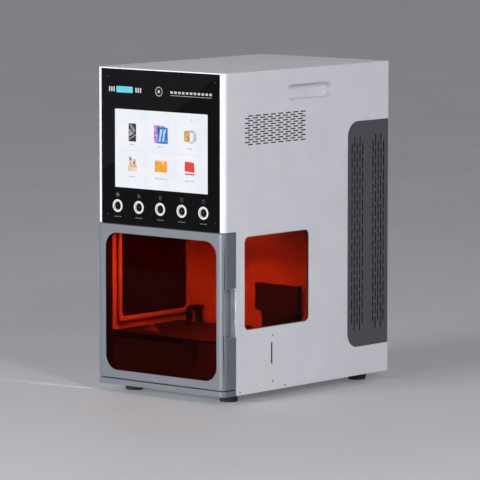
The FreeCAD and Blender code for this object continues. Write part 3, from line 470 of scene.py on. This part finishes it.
def show_gold_cup(corner, x, z):
    disc = Relief(corner).add(circle(x + 3.5, z - 0.5, 9.5), circle(x + 0.8, z - 0.5, 6.6))
    show(disc, "crescent", (0.42, 0.41, 0.44), (0.68, 0.66, 0.68))
    outline = rounded(x - 10, x, z - 7.5, z + 7.5, 2.6)
    inside = rounded(x - 9, x - 1, z - 6.5, z + 6.5, 1.8)
    show(Relief(corner).add(outline, layer=1), "gold_cup", (0.62, 0.30, 0.04), (0.85, 0.52, 0.14))
    show(Relief(corner).add(outline, inside, 2), "gold_rim", (0.16, 0.13, 0.08), (0.30, 0.24, 0.12))


def show_tower(corner, x, z):
    tower = Relief(corner)
    for i in range(4):
        leg = x - 8.2 + i * 4.6
        tower.add(rectangle(leg, leg + 2.6, z - 11.5, z - 4))
    tower.add(rectangle(x - 8.2, x + 8.2, z - 6, z - 3), layer=1)
    tower.add(rounded(x - 6.5, x - 1.0, z - 4, z + 9, 1.6), layer=2)
    tower.add(rounded(x + 1.0, x + 6.5, z - 4, z + 6, 1.6), layer=2)
    show(tower, "tower", (0.66, 0.36, 0.16), (0.86, 0.62, 0.40))
    spots = Relief(corner)
    spots.add(circle(x - 3.5, z + 5.5, 1.6), layer=3)
    spots.add(circle(x + 3.2, z + 0.5, 1.6), layer=3)
    show(spots, "tower_spots", (0.12, 0.05, 0.02), (0.20, 0.09, 0.04))


def show_folder(corner, x, z):
    folder = Relief(corner).add(rounded(x - 11.5, x + 11.5, z - 10, z + 6.5, 1.0))
    show(folder, "folder", (0.85, 0.33, 0.012), (0.92, 0.42, 0.03))
    flap = Relief(corner)
    flap.add(rectangle(x - 11.5, x + 11.5, z + 5.0, z + 6.0), layer=1)
    flap.add([(x + 2, z + 1.5), (x + 4, z + 1.5), (x + 7, z + 5), (x + 2, z + 5)], layer=1)
    show(flap, "folder_flap", (0.95, 0.62, 0.22), (0.95, 0.72, 0.36))


def show_book(corner, x, z):
    cover = [(x - 9.5, z - 5.5), (x + 9, z - 7), (x + 8, z + 7), (x - 9, z + 8)]
    show(Relief(corner).add(cover), "book", (0.80, 0.022, 0.015), (0.90, 0.05, 0.03))
    spine = [(x - 9.5, z - 10.5), (x + 9.5, z - 10.5), (x + 9, z - 9), (x - 8, z - 8.5)]
    show(Relief(corner).add(spine, layer=1), "book_spine", (0.62, 0.03, 0.02), (0.72, 0.06, 0.04))


def show_labels(corner, columns, width, height):
    """A row of bars under each picture and three dots in the upper right corner."""
    labels = Relief(corner)
    for row, widths in zip(LABEL_ROWS, LABEL_WIDTHS):
        z = height * (1 - row)
        for centre, wide in zip(columns, widths):
            bars = max(2, round(wide / LABEL_BAR))
            pitch = wide / bars
            for i in range(bars):
                x = centre - wide / 2 + i * pitch
                labels.add(rectangle(x, x + pitch * 0.78, z - 0.6, z + 0.6))
    for i in range(3):
        radius = 1.0 if i == 0 else 0.6
        labels.add(circle(width * 0.83 + i * 5.0, height * (1 - MARGIN), radius, 16))
    show(labels, "labels", (0.34, 0.35, 0.39), (0.50, 0.51, 0.55))


def show_dividers(corner, width, height):
    lines = Relief(corner)
    for share in (0.33, 0.66):
        lines.add(rectangle(width * share, width * share + 0.7, height * MARGIN, height * (1 - MARGIN)))
    for start, end in ((0.06, 0.32), (0.35, 0.65), (0.68, 0.94)):
        lines.add(rectangle(width * start, width * end, height * 0.475, height * 0.482))
    show(lines, "dividers", (0.72, 0.73, 0.80), (0.78, 0.79, 0.85))


def add_screen_picture():
    """Six picture buttons with plain label bars, the way such panels lay out their menu."""
    low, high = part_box("touch_display")
    inset = SCREEN_INSET * MM
    corner = Vector((low.x + inset, low.y, low.z + inset))
    width = (high.x - low.x) / MM - 2 * SCREEN_INSET
    height = (high.z - low.z) / MM - 2 * SCREEN_INSET
    columns = [share * width for share in SCREEN_COLUMNS]
    left, middle, right = columns
    upper, lower = (height * (1 - share) for share in SCREEN_ROWS)
    show_phone(corner, left, upper)
    show_tablets(corner, middle, upper)
    show_gold_cup(corner, right, upper)
    show_tower(corner, left, lower)
    show_folder(corner, middle, lower)
    show_book(corner, right, lower)
    show_labels(corner, columns, width, height)
    show_dividers(corner, width, height)


# ---------------------------------------------------------------- marks on the front glass, sizes in mm
GLYPH_RISE = 15.7        # height of each glyph above the middle of its button
LABEL_DROP = 15.2        # and of the bars below it
BAR_PITCH = 3.3
BAR_LENGTH = 2.6
BEZEL_SHADE_R = (5.86, 6.5)      # painted shade: black ring over the inner wall of each glowing bezel
INK = 0.04               # thickness of the ink
MARKS_DROP = 28.6        # the top marks are this far below the glass's upper edge
PILL = (28, 59)
RING_X = 108
DASH_X = 129.5
DASH_COUNT = 11
DASH_PITCH = 7.2
DASH_LENGTH = 4.6


def blade(x, z, degrees):
    """One lobe of the fan glyph."""
    lobe = [(x - 0.4, z + 0.5), (x + 0.4, z + 0.5), (x + 1.3, z + 2.0),
            (x + 0.9, z + 3.3), (x - 0.5, z + 3.5), (x - 1.2, z + 2.3)]
    return turned(lobe, degrees, (x, z))


def add_fan_glyph(ink, x, z):
    for i in range(4):
        ink.add(blade(x, z, 90 * i))


def add_laser_glyph(ink, x, z):
    ink.add(circle(x, z, 1.3, 16))
    for i in range(8):
        ink.add(turned(rectangle(x - 0.25, x + 0.25, z + 1.9, z + 3.2), 45 * i, (x, z)))


def add_lamp_glyph(ink, x, z):
    ink.add(circle(x, z + 0.8, 2.4, 24), circle(x, z + 0.8, 1.8, 24))
    ink.add(rectangle(x - 1.2, x + 1.2, z - 2.4, z - 1.9))
    ink.add(rectangle(x - 0.9, x + 0.9, z - 3.3, z - 2.8))


def add_focus_glyph(ink, x, z):
    for i in range(4):
        ink.add(turned(rectangle(x + 1.0, x + 4.0, z - 0.3, z + 0.3), 45 + 90 * i, (x, z)))
    ink.add(circle(x, z, 0.5, 12))


def add_power_glyph(ink, x, z):
    ink.add(rectangle(x - 0.3, x + 0.3, z + 0.6, z + 3.4))
    count = 14
    for i in range(count):
        arc = rectangle(x - 0.36, x + 0.36, z + 2.3, z + 2.8)
        ink.add(turned(arc, 35 + i * 290 / (count - 1), (x, z)))


GLYPHS = {"fan_button": add_fan_glyph, "laser_button": add_laser_glyph, "lamp_button": add_lamp_glyph,
          "focus_button": add_focus_glyph, "power_button": add_power_glyph}


def add_button_marks():
    """A glyph above, bars below, a black rim of painted shade inside the bezel and a small red sign in the
    cap of each push-button.
    """
    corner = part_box("front_glass")[0]
    bezel_corner = Vector((corner.x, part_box("button_bodies")[0].y, corner.z))
    ink = Relief(corner, INK)
    black = dark_glass("bezel_painted_shade", (0.006, 0.006, 0.006))
    red = printed("button_sign", (0.07, 0.004, 0.007))
    for name, draw in GLYPHS.items():
        low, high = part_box(name)
        x = ((low.x + high.x) / 2 - corner.x) / MM
        z = ((low.z + high.z) / 2 - corner.z) / MM
        draw(ink, x, z + GLYPH_RISE)
        for i in range(4):
            bar = x - 6.4 + i * BAR_PITCH
            ink.add(rounded(bar, bar + BAR_LENGTH, z - LABEL_DROP - 0.7, z - LABEL_DROP + 0.7, 0.3, 2))
        # painted shade over the inner wall of the bezel
        rim = Relief(bezel_corner, 0.03)
        rim.add(circle(x, z, BEZEL_SHADE_R[1]), circle(x, z, BEZEL_SHADE_R[0]))
        rim.piece(name + "_rim", black, "cabinet", "black_trim")
        sign = Relief(low, INK)
        centre = (high.x - low.x) / MM / 2
        for angle in (60, 120, 180):
            arm = rectangle(centre - 1.9, centre + 1.9, centre - 0.28, centre + 0.28)
            sign.add(turned(arm, angle, (centre, centre)), layer=angle // 60)
        sign.piece(name + "_sign", red, name + "_cap")
    ink.piece("glass_glyphs", printed("grey_ink", (0.105, 0.105, 0.11)), "cabinet")


def add_top_marks():
    """Plain shapes along the top: a pill between two groups of bars, a ring and a row of dashes."""
    corner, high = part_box("front_glass")
    z = (high.z - corner.z) / MM - MARKS_DROP
    pill = Relief(corner, INK).add(rounded(PILL[0], PILL[1], z - 4.4, z + 4.4, 1.6))
    # painted glow: the cyan ink of the pill is given light of its own
    pill.piece("glass_pill", lit("cyan_painted_glow", (0.10, 0.62, 0.70), (0.20, 0.78, 0.84)), "cabinet")
    ink = Relief(corner, INK)
    for start in (PILL[0] - 14, PILL[1] + 5):
        for i in range(3):
            x = start + i * 4.2
            ink.add(rounded(x, x + 2.6, z - 3.6, z + 3.6, 1.2, 4))
    ink.add(circle(RING_X, z, 6.6), circle(RING_X, z, 5.6))
    ink.add(circle(RING_X, z, 2.2, 20))
    for i in range(DASH_COUNT):
        x = DASH_X + i * DASH_PITCH
        ink.add(rounded(x, x + DASH_LENGTH, z - 1.6, z + 1.6, 0.6, 2))
    ink.add(rectangle(DASH_X, x + DASH_LENGTH, z - 4.6, z - 4.1))
    ink.piece("glass_marks", printed("light_ink", (0.42, 0.42, 0.43)), "cabinet")


# ---------------------------------------------------------------- fasteners and small parts
HEAD_POINTS = 24
# Shares of a head's radius and height, from its seat to its top.
HEAD_PROFILE = ((1.0, 0.0), (1.0, 0.45), (0.93, 0.72), (0.80, 0.92), (0.66, 1.0))
SOCKET_FLATS = 0.46          # half the socket's width, as a share of the head's radius
SOCKET_FLOOR = 0.35          # its floor, as a share of the head's height
HEAD_HEIGHT = 1.2 * MM       # of the heads that look to the front and the back


def screw_head(shell, base, out, radius, height):
    """Domed head with a hexagon socket, standing on base and looking along out."""
    side = Vector((0, 0, 1)).cross(out).normalized()
    up = out.cross(side)
    flats = SOCKET_FLATS * radius
    directions = []
    hexagon = []
    for i in range(HEAD_POINTS):
        angle = 2 * math.pi * i / HEAD_POINTS
        directions.append(side * math.cos(angle) + up * math.sin(angle))
        nearest = (angle + math.pi / 6) % (math.pi / 3) - math.pi / 6
        hexagon.append(flats / math.cos(nearest))
    rings = []
    for share, rise in HEAD_PROFILE:
        rings.append([base + d * radius * share + out * height * rise for d in directions])
    for rise in (1.0, SOCKET_FLOOR):
        rings.append([base + d * reach + out * height * rise for d, reach in zip(directions, hexagon)])
    shell.stack(rings)


def add_screws(finishes):
    covers = Shell()
    for low, high in islands(nodes["cover_screws"]):
        middle = (low + high) / 2
        size = high - low
        if size.y > size.x:
            base = Vector((middle.x, high.y - HEAD_HEIGHT, middle.z))
            screw_head(covers, base, Vector((0, 1, 0)), size.x / 2, HEAD_HEIGHT)
        elif middle.x > CENTRE.x:
            screw_head(covers, Vector((low.x, middle.y, middle.z)), Vector((1, 0, 0)), size.y / 2, size.x)
        else:
            screw_head(covers, Vector((high.x, middle.y, middle.z)), Vector((-1, 0, 0)), size.y / 2, size.x)
    made = covers.piece("socket_screws", finishes["plain_steel"], "cabinet", "plain_steel")
    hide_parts("cover_screws")
    glass = Shell()
    for low, high in islands(nodes["front_screws"]):
        middle = (low + high) / 2
        base = Vector((middle.x, low.y + HEAD_HEIGHT, middle.z))
        screw_head(glass, base, Vector((0, -1, 0)), (high.x - low.x) / 2, HEAD_HEIGHT)
    made = glass.piece("glass_socket_screws", finishes["black_trim"], "cabinet", "black_trim")
    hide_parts("front_screws")


THREAD_DEPTH = 0.7 * MM
THREAD_LEAD = 8.0 * MM
THREAD_STARTS = 4
THREAD_STEP = 0.25 * MM      # height between the rings of points
THREAD_POINTS = 32


def add_lead_screw(finishes):
    """Right-hand thread of four starts."""
    low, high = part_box("lead_screw")
    centre = (low + high) / 2
    crest = (high.x - low.x) / 2
    count = round((high.z - low.z) / THREAD_STEP)
    rings = []
    for k in range(count + 1):
        z = low.z + (high.z - low.z) * k / count
        ring = []
        for i in range(THREAD_POINTS):
            turn = i / THREAD_POINTS
            phase = (THREAD_STARTS * (turn - (z - low.z) / THREAD_LEAD)) % 1.0
            raised = min(1.0, max(0.0, 2.0 - 4.0 * abs(phase - 0.5)))
            radius = crest - THREAD_DEPTH * (1 - raised)
            angle = 2 * math.pi * turn
            x = centre.x + radius * math.cos(angle)
            y = centre.y + radius * math.sin(angle)
            ring.append(Vector((x, y, z)))
        rings.append(ring)
    shell = Shell()
    shell.stack(rings)
    made = shell.piece("threaded_screw", finishes["plain_steel"], "screw", "plain_steel")
    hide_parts("lead_screw")


KNOB_INSET = 8.5 * MM        # the thumb screw's middle from both outer faces of the stop
KNOB_RIBS = 28
KNOB_RIB_DEPTH = 0.25
KNOB_GRIP_R = 4.0            # only rings wider than this have ribs
# Radius and depth below the top of the stop, in mm.
KNOB_PROFILE = ((3.4, 5.2), (4.2, 4.6), (4.2, 0.9), (3.5, 0.1), (2.9, -0.2))


def add_stop_knob(finishes):
    """Knurled head on the thumb screw of the corner stop."""
    low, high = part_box("corner_stop")
    centre = Vector((low.x + KNOB_INSET, low.y + KNOB_INSET, high.z))
    rings = []
    for radius, drop in KNOB_PROFILE:
        ring = []
        for i in range(2 * KNOB_RIBS):
            notched = i % 2 and radius > KNOB_GRIP_R
            reach = radius - (KNOB_RIB_DEPTH if notched else 0.0)
            angle = math.pi * i / KNOB_RIBS
            ring.append(centre + Vector((reach * math.cos(angle), reach * math.sin(angle), -drop)) * MM)
        rings.append(ring)
    shell = Shell()
    shell.stack(rings)
    shell.piece("stop_knob", finishes["plain_steel"], "lift_stage", "plain_steel")


# ---------------------------------------------------------------- linings and seals
# Below, y runs from the front face to the back and z up from the underside of the base plate, in mm.
HALF_W = (cad_high.x - cad_low.x) / 2
SHEET_IN = HALF_W - 2.0 * MM       # just behind a side cover
GRILLE = (41, 188, 344, 394)       # y and z range of the painted shade sheet behind the grille of a side cover
INSERT = (277, 357.5, 62, 351)     # and of the one behind a grey insert
GRILLE_SLOT = (11.3, 1.7)          # length and height
GRILLE_PITCH = (16.3, 3.31)
GRILLE_ROWS = 13
GRILLE_COLUMNS = 8
GRILLE_STAGGER = 6.4               # every second row starts this much nearer the front
GRILLE_START = (51.2, 347.95)
VENT_SLOT = (2.0, 17.5)
VENT_PITCH = (6.0, 20.3)
VENT_BANDS = (280.0, 327.8)        # where the first column of each band starts
VENT_COLUMNS = 5
VENT_ROWS = 13                     # every second column has one more and starts half a pitch lower
VENT_BASE = 74.5
POINTER_SLOT = (38.2, 67.7)        # straight stretch of the height slots
POINTER_SHADE = (1.26, 1.46)      # faces of the painted shade in the slot, from the middle of the slot


def body_y(y):
    return cad_low.y + y * MM


def body_z(z):
    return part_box("base_plate")[0].z + z * MM


def side_sheet(shell, inner_x, thick, outline):
    """Upright sheet beside the right cover, and its twin on the left."""
    for sign in (1, -1):
        points = [Vector((CENTRE.x + sign * inner_x, y, z)) for y, z in outline]
        shell.extrude(points, Vector((-sign * thick, 0, 0)))


def add_grille_shade_sheets(shade_finish):
    """Painted shade: black sheets behind the side grilles and the slots of the grey inserts, where the
    inside of the cabinet is in shade.
    """
    shell = Shell()
    for inner_x, (y0, y1, z0, z1) in ((HALF_W - 2.3 * MM, GRILLE), (HALF_W - 3.3 * MM, INSERT)):
        outline = rounded(body_y(y0), body_y(y1), body_z(z0), body_z(z1), 3 * MM)
        side_sheet(shell, inner_x, 0.8 * MM, outline)
    shell.piece("grille_shade_sheets", shade_finish, "cabinet", "black_trim")


def shade_sleeve(shell, inner_x, outer_x, place, size, radius):
    """Painted shade inside one slot in a side sheet, and its twin on the left: black over the slot's walls.
    Place and size are (y, z) in mm.
    """
    wall = 0.22 * MM
    gap = 0.02 * MM
    y0 = body_y(place[0])
    z0 = body_z(place[1])
    y1 = y0 + size[0] * MM
    z1 = z0 + size[1] * MM
    outline = rounded(y0 + gap, y1 - gap, z0 + gap, z1 - gap, radius - gap, 2)
    inside = rounded(y0 + wall, y1 - wall, z0 + wall, z1 - wall, radius - wall, 2)
    for sign in (1, -1):
        x = CENTRE.x + sign * inner_x
        points = [Vector((x, y, z)) for y, z in outline]
        hole = [Vector((x, y, z)) for y, z in inside]
        shell.extrude(points, Vector((sign * (outer_x - inner_x), 0, 0)), hole)


def add_slot_shades(shade_finish):
    """Painted shade: black over the walls of the grille slots, the long ventilation slots and the height
    slots of both sides.
    """
    shell = Shell()
    for row in range(GRILLE_ROWS):
        shift = GRILLE_STAGGER * (row % 2)
        for i in range(GRILLE_COLUMNS):
            place = (GRILLE_START[0] + i * GRILLE_PITCH[0] - shift, GRILLE_START[1] + row * GRILLE_PITCH[1])
            shade_sleeve(shell, SHEET_IN, HALF_W - 0.25 * MM, place, GRILLE_SLOT, 0.8 * MM)
    for band in VENT_BANDS:
        for column in range(VENT_COLUMNS):
            shifted = column % 2
            for i in range(VENT_ROWS + shifted):
                place = (band + column * VENT_PITCH[0], VENT_BASE + (i - 0.5 * shifted) * VENT_PITCH[1])
                shade_sleeve(shell, HALF_W - 3.0 * MM, HALF_W - 0.6 * MM, place, VENT_SLOT, 0.95 * MM)
    low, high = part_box("height_pointers")
    middle = (low.y + high.y) / 2
    near, far = (distance * MM for distance in POINTER_SHADE)
    bottom, top = (body_z(z) for z in POINTER_SLOT)
    outer_x = HALF_W - 0.15 * MM
    side_sheet(shell, outer_x, outer_x - SHEET_IN, rectangle(middle - far, middle - near, bottom, top))
    side_sheet(shell, outer_x, outer_x - SHEET_IN, rectangle(middle + near, middle + far, bottom, top))
    shell.piece("slot_shade_sleeves", shade_finish, "cabinet", "black_trim")


def add_hinge_shade(finishes):
    """Painted shade: black strip on the hinge side of the door opening, where the jamb is in shade."""
    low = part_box("left_side_cover")[0]
    front = low.y + 15.5 * MM
    back = low.y + 29 * MM
    outline = rounded(front, back, body_z(11), body_z(228), 1.5 * MM)
    x = low.x + 2.2 * MM
    shell = Shell()
    shell.extrude([Vector((x, y, z)) for y, z in outline], Vector((1.0 * MM, 0, 0)))
    shell.piece("hinge_painted_shade", finishes["black_trim"], "cabinet", "black_trim")


def add_door_seal(finishes):
    """Rubber bulb along the door's top edge, which closes the gap under the upper body."""
    low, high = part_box("door_frame")
    front = low.y + 2.6 * MM
    back = low.y + 6.2 * MM
    section = rounded(front, back, high.z - 0.2 * MM, high.z + 0.85 * MM, 0.5 * MM)
    start = low.x + 13 * MM
    length = high.x - 11 * MM - start
    shell = Shell()
    shell.extrude([Vector((start, y, z)) for y, z in section], Vector((length, 0, 0)))
    shell.piece("door_top_seal", finishes["black_trim"], "door", "black_trim")


def add_window_gaskets(finishes):
    """Thin black gasket round the inside of each side window, against the pane."""
    low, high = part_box("right_window_pane")
    lap = 5.0 * MM
    back_lap = 4.9 * MM
    width = 1 * MM
    corner_r = 8.5 * MM
    outer = rounded(low.y + lap, high.y - back_lap, low.z + lap, high.z - lap, corner_r)
    inner = rounded(low.y + lap + width, high.y - back_lap - width,
                    low.z + lap + width, high.z - lap - width, corner_r - width)
    shell = Shell()
    for sign in (1, -1):
        x = CENTRE.x + sign * (high.x - CENTRE.x)
        points = [Vector((x, y, z)) for y, z in outer]
        hole = [Vector((x, y, z)) for y, z in inner]
        shell.extrude(points, Vector((sign * 0.6 * MM, 0, 0)), hole)
    shell.piece("window_gaskets", finishes["black_trim"], "cabinet", "black_trim")


# ---------------------------------------------------------------- stage, lights and camera
VIEW_AZIMUTH = math.radians(40.624)
VIEW_ELEVATION = math.radians(6.330)
VIEW_DISTANCE = 5.7047
VIEW_AIM = Vector((-0.0020, -0.0067, -0.0219))
VIEW_LENS = 298.85


def compass(azimuth, elevation):
    """Direction from the object towards a viewer or light. Azimuth 0 is in front and 90 is on the right."""
    flat = math.cos(elevation)
    return Vector((math.sin(azimuth) * flat, -math.cos(azimuth) * flat, math.sin(elevation)))


def camera_place():
    return CENTRE + VIEW_AIM + compass(VIEW_AZIMUTH, VIEW_ELEVATION) * VIEW_DISTANCE


def add_camera():
    data = bpy.data.cameras.new("camera")
    data.lens = VIEW_LENS
    data.sensor_width = 36.0
    data.clip_end = 200.0
    camera = bpy.data.objects.new("camera", data)
    bpy.context.scene.collection.objects.link(camera)
    camera.location = camera_place()
    ahead = -compass(VIEW_AZIMUTH, VIEW_ELEVATION)
    camera.rotation_euler = ahead.to_track_quat("-Z", "Y").to_euler()
    bpy.context.scene.camera = camera


def add_area(name, azimuth, elevation, distance, size, power, colour):
    data = bpy.data.lights.new(name, "AREA")
    data.shape = "RECTANGLE"
    data.size, data.size_y = size
    data.energy = power
    data.color = colour
    lamp = bpy.data.objects.new(name, data)
    bpy.context.scene.collection.objects.link(lamp)
    out = compass(math.radians(azimuth), math.radians(elevation))
    lamp.location = CENTRE + out * distance
    lamp.rotation_euler = (-out).to_track_quat("-Z", "Y").to_euler()
    return lamp


CHAMBER_POWER = (1.5, 0.08)   # front bar and back bar, in watts
LAMP_SHARE = 0.55             # of each bar's length, which keeps the side walls from glaring
BAR_WIDTH = 9 * MM


def add_chamber_lamps():
    """A lamp just under each light bar, which does the bar's work at low noise."""
    low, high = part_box("led_strips")
    for i, y in enumerate((low.y + BAR_WIDTH / 2, high.y - BAR_WIDTH / 2)):
        data = bpy.data.lights.new(f"chamber_lamp_{i}", "AREA")
        data.shape = "RECTANGLE"
        data.size = LAMP_SHARE * (high.x - low.x)
        data.size_y = BAR_WIDTH
        data.energy = CHAMBER_POWER[i]
        data.color = (1.0, 0.95, 0.88)
        lamp = bpy.data.objects.new(data.name, data)
        lamp.visible_camera = False
        lamp.location = ((low.x + high.x) / 2, y, low.z - 0.5 * MM)
        bpy.context.scene.collection.objects.link(lamp)


FLOOR_HALF = 40.0
FLOOR_GLOW = 0.07
MAT_LIFT = 2 * MM
MAT_LEFT_EDGE = 0.32          # where the diagonal starts, as a share of the glass's height
MAT_NEAR_EDGE = 0.75          # share of the height of the glass's lower edge above the floor


def add_stage():
    half = FLOOR_HALF
    mesh = bpy.data.meshes.new("floor")
    corners = [(-half, -half, 0), (half, -half, 0), (half, half, 0), (-half, half, 0)]
    mesh.from_pydata(corners, [], [(0, 1, 2, 3)])
    floor = bpy.data.objects.new("floor", mesh)
    bpy.context.scene.collection.objects.link(floor)
    finish = Finish("floor_paint", 0.55)
    finish.colour(finish.noise(0.5, 2.0), (0.3, (0.54, 0.55, 0.56)), (0.7, (0.57, 0.58, 0.59)))
    finish.rough(finish.noise(0.2, 3.0), 0.5, 0.6)
    finish.set("Emission Color", (0.9, 0.93, 1.0, 1.0))
    finish.set("Emission Strength", FLOOR_GLOW)
    mesh.materials.append(finish.material)


def add_dark_mat():
    """Black mat on the floor, out of view. The front glass mirrors its edge as a diagonal."""
    low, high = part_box("front_glass")
    mirrored = camera_place()
    mirrored.y = 2 * low.y - mirrored.y
    edge = [(low.x, low.z + MAT_LEFT_EDGE * (high.z - low.z)), (high.x, high.z)]
    near = [(high.x, MAT_NEAR_EDGE * low.z), (low.x, MAT_NEAR_EDGE * low.z)]
    corners = []
    for x, z in edge + near:
        ray = Vector((x, low.y, z)) - mirrored
        spot = mirrored + ray * (mirrored.z / (mirrored.z - z))
        corners.append((spot.x, spot.y, MAT_LIFT))
    mesh = bpy.data.meshes.new("dark_mat")
    mesh.from_pydata(corners, [], [(3, 2, 1, 0)])
    mat = bpy.data.objects.new("dark_mat", mesh)
    bpy.context.scene.collection.objects.link(mat)
    mesh.materials.append(moulded("mat_felt", (0.015, 0.015, 0.016), 0.8, 3 * MM).material)


def add_world():
    """Even studio surround that dims towards the ceiling."""
    world = bpy.data.worlds.new("studio")
    bpy.context.scene.world = world
    world.use_nodes = True
    tree = world.node_tree
    place = tree.nodes.new("ShaderNodeTexCoord")
    split = tree.nodes.new("ShaderNodeSeparateXYZ")
    ramp = tree.nodes.new("ShaderNodeValToRGB")
    ramp.color_ramp.elements[0].position = 0.0
    ramp.color_ramp.elements[0].color = (0.56, 0.57, 0.62, 1.0)
    ramp.color_ramp.elements[1].position = 0.9
    ramp.color_ramp.elements[1].color = (0.05, 0.05, 0.056, 1.0)
    tree.links.new(place.outputs["Generated"], split.inputs["Vector"])
    tree.links.new(split.outputs["Z"], ramp.inputs["Fac"])
    tree.links.new(ramp.outputs["Color"], tree.nodes["Background"].inputs["Color"])


STUDIO_LIGHTS = (   # name, azimuth and elevation in degrees, distance, size, watts, colour
    ("key", -6, 10, 3.4, (1.4, 1.0), 106, (1.0, 0.995, 0.985)),
    ("edge_strip", 63, 24, 3.4, (0.35, 1.3), 36, (0.98, 0.98, 1.0)),
    ("top_strip", -20, 50, 3.2, (1.6, 0.8), 3, (1.0, 1.0, 1.0)),
)


def light_and_frame():
    add_camera()
    add_stage()
    add_dark_mat()
    add_world()
    for light in STUDIO_LIGHTS:
        add_area(*light)
    add_chamber_lamps()
    bpy.context.scene.view_settings.view_transform = "Standard"


# ---------------------------------------------------------------- putting it together
finishes = slot_finishes()
for name, node in nodes.items():
    slot_name = node.material_slots[0].material.name
    node.material_slots[0].material = finishes[slot_name].material
    if name in SOFT_EDGES:
        soften(node, SOFT_EDGES[name] * MM)

add_screen_picture()
add_button_marks()
add_top_marks()
add_screws(finishes)
add_lead_screw(finishes)
add_stop_knob(finishes)
# painted shade: black pieces in the side slots and behind the grilles
slot_shade_finish = painted_shade_black()
add_grille_shade_sheets(slot_shade_finish)
add_slot_shades(slot_shade_finish)
add_hinge_shade(finishes)
add_door_seal(finishes)
add_window_gaskets(finishes)
light_and_frame()
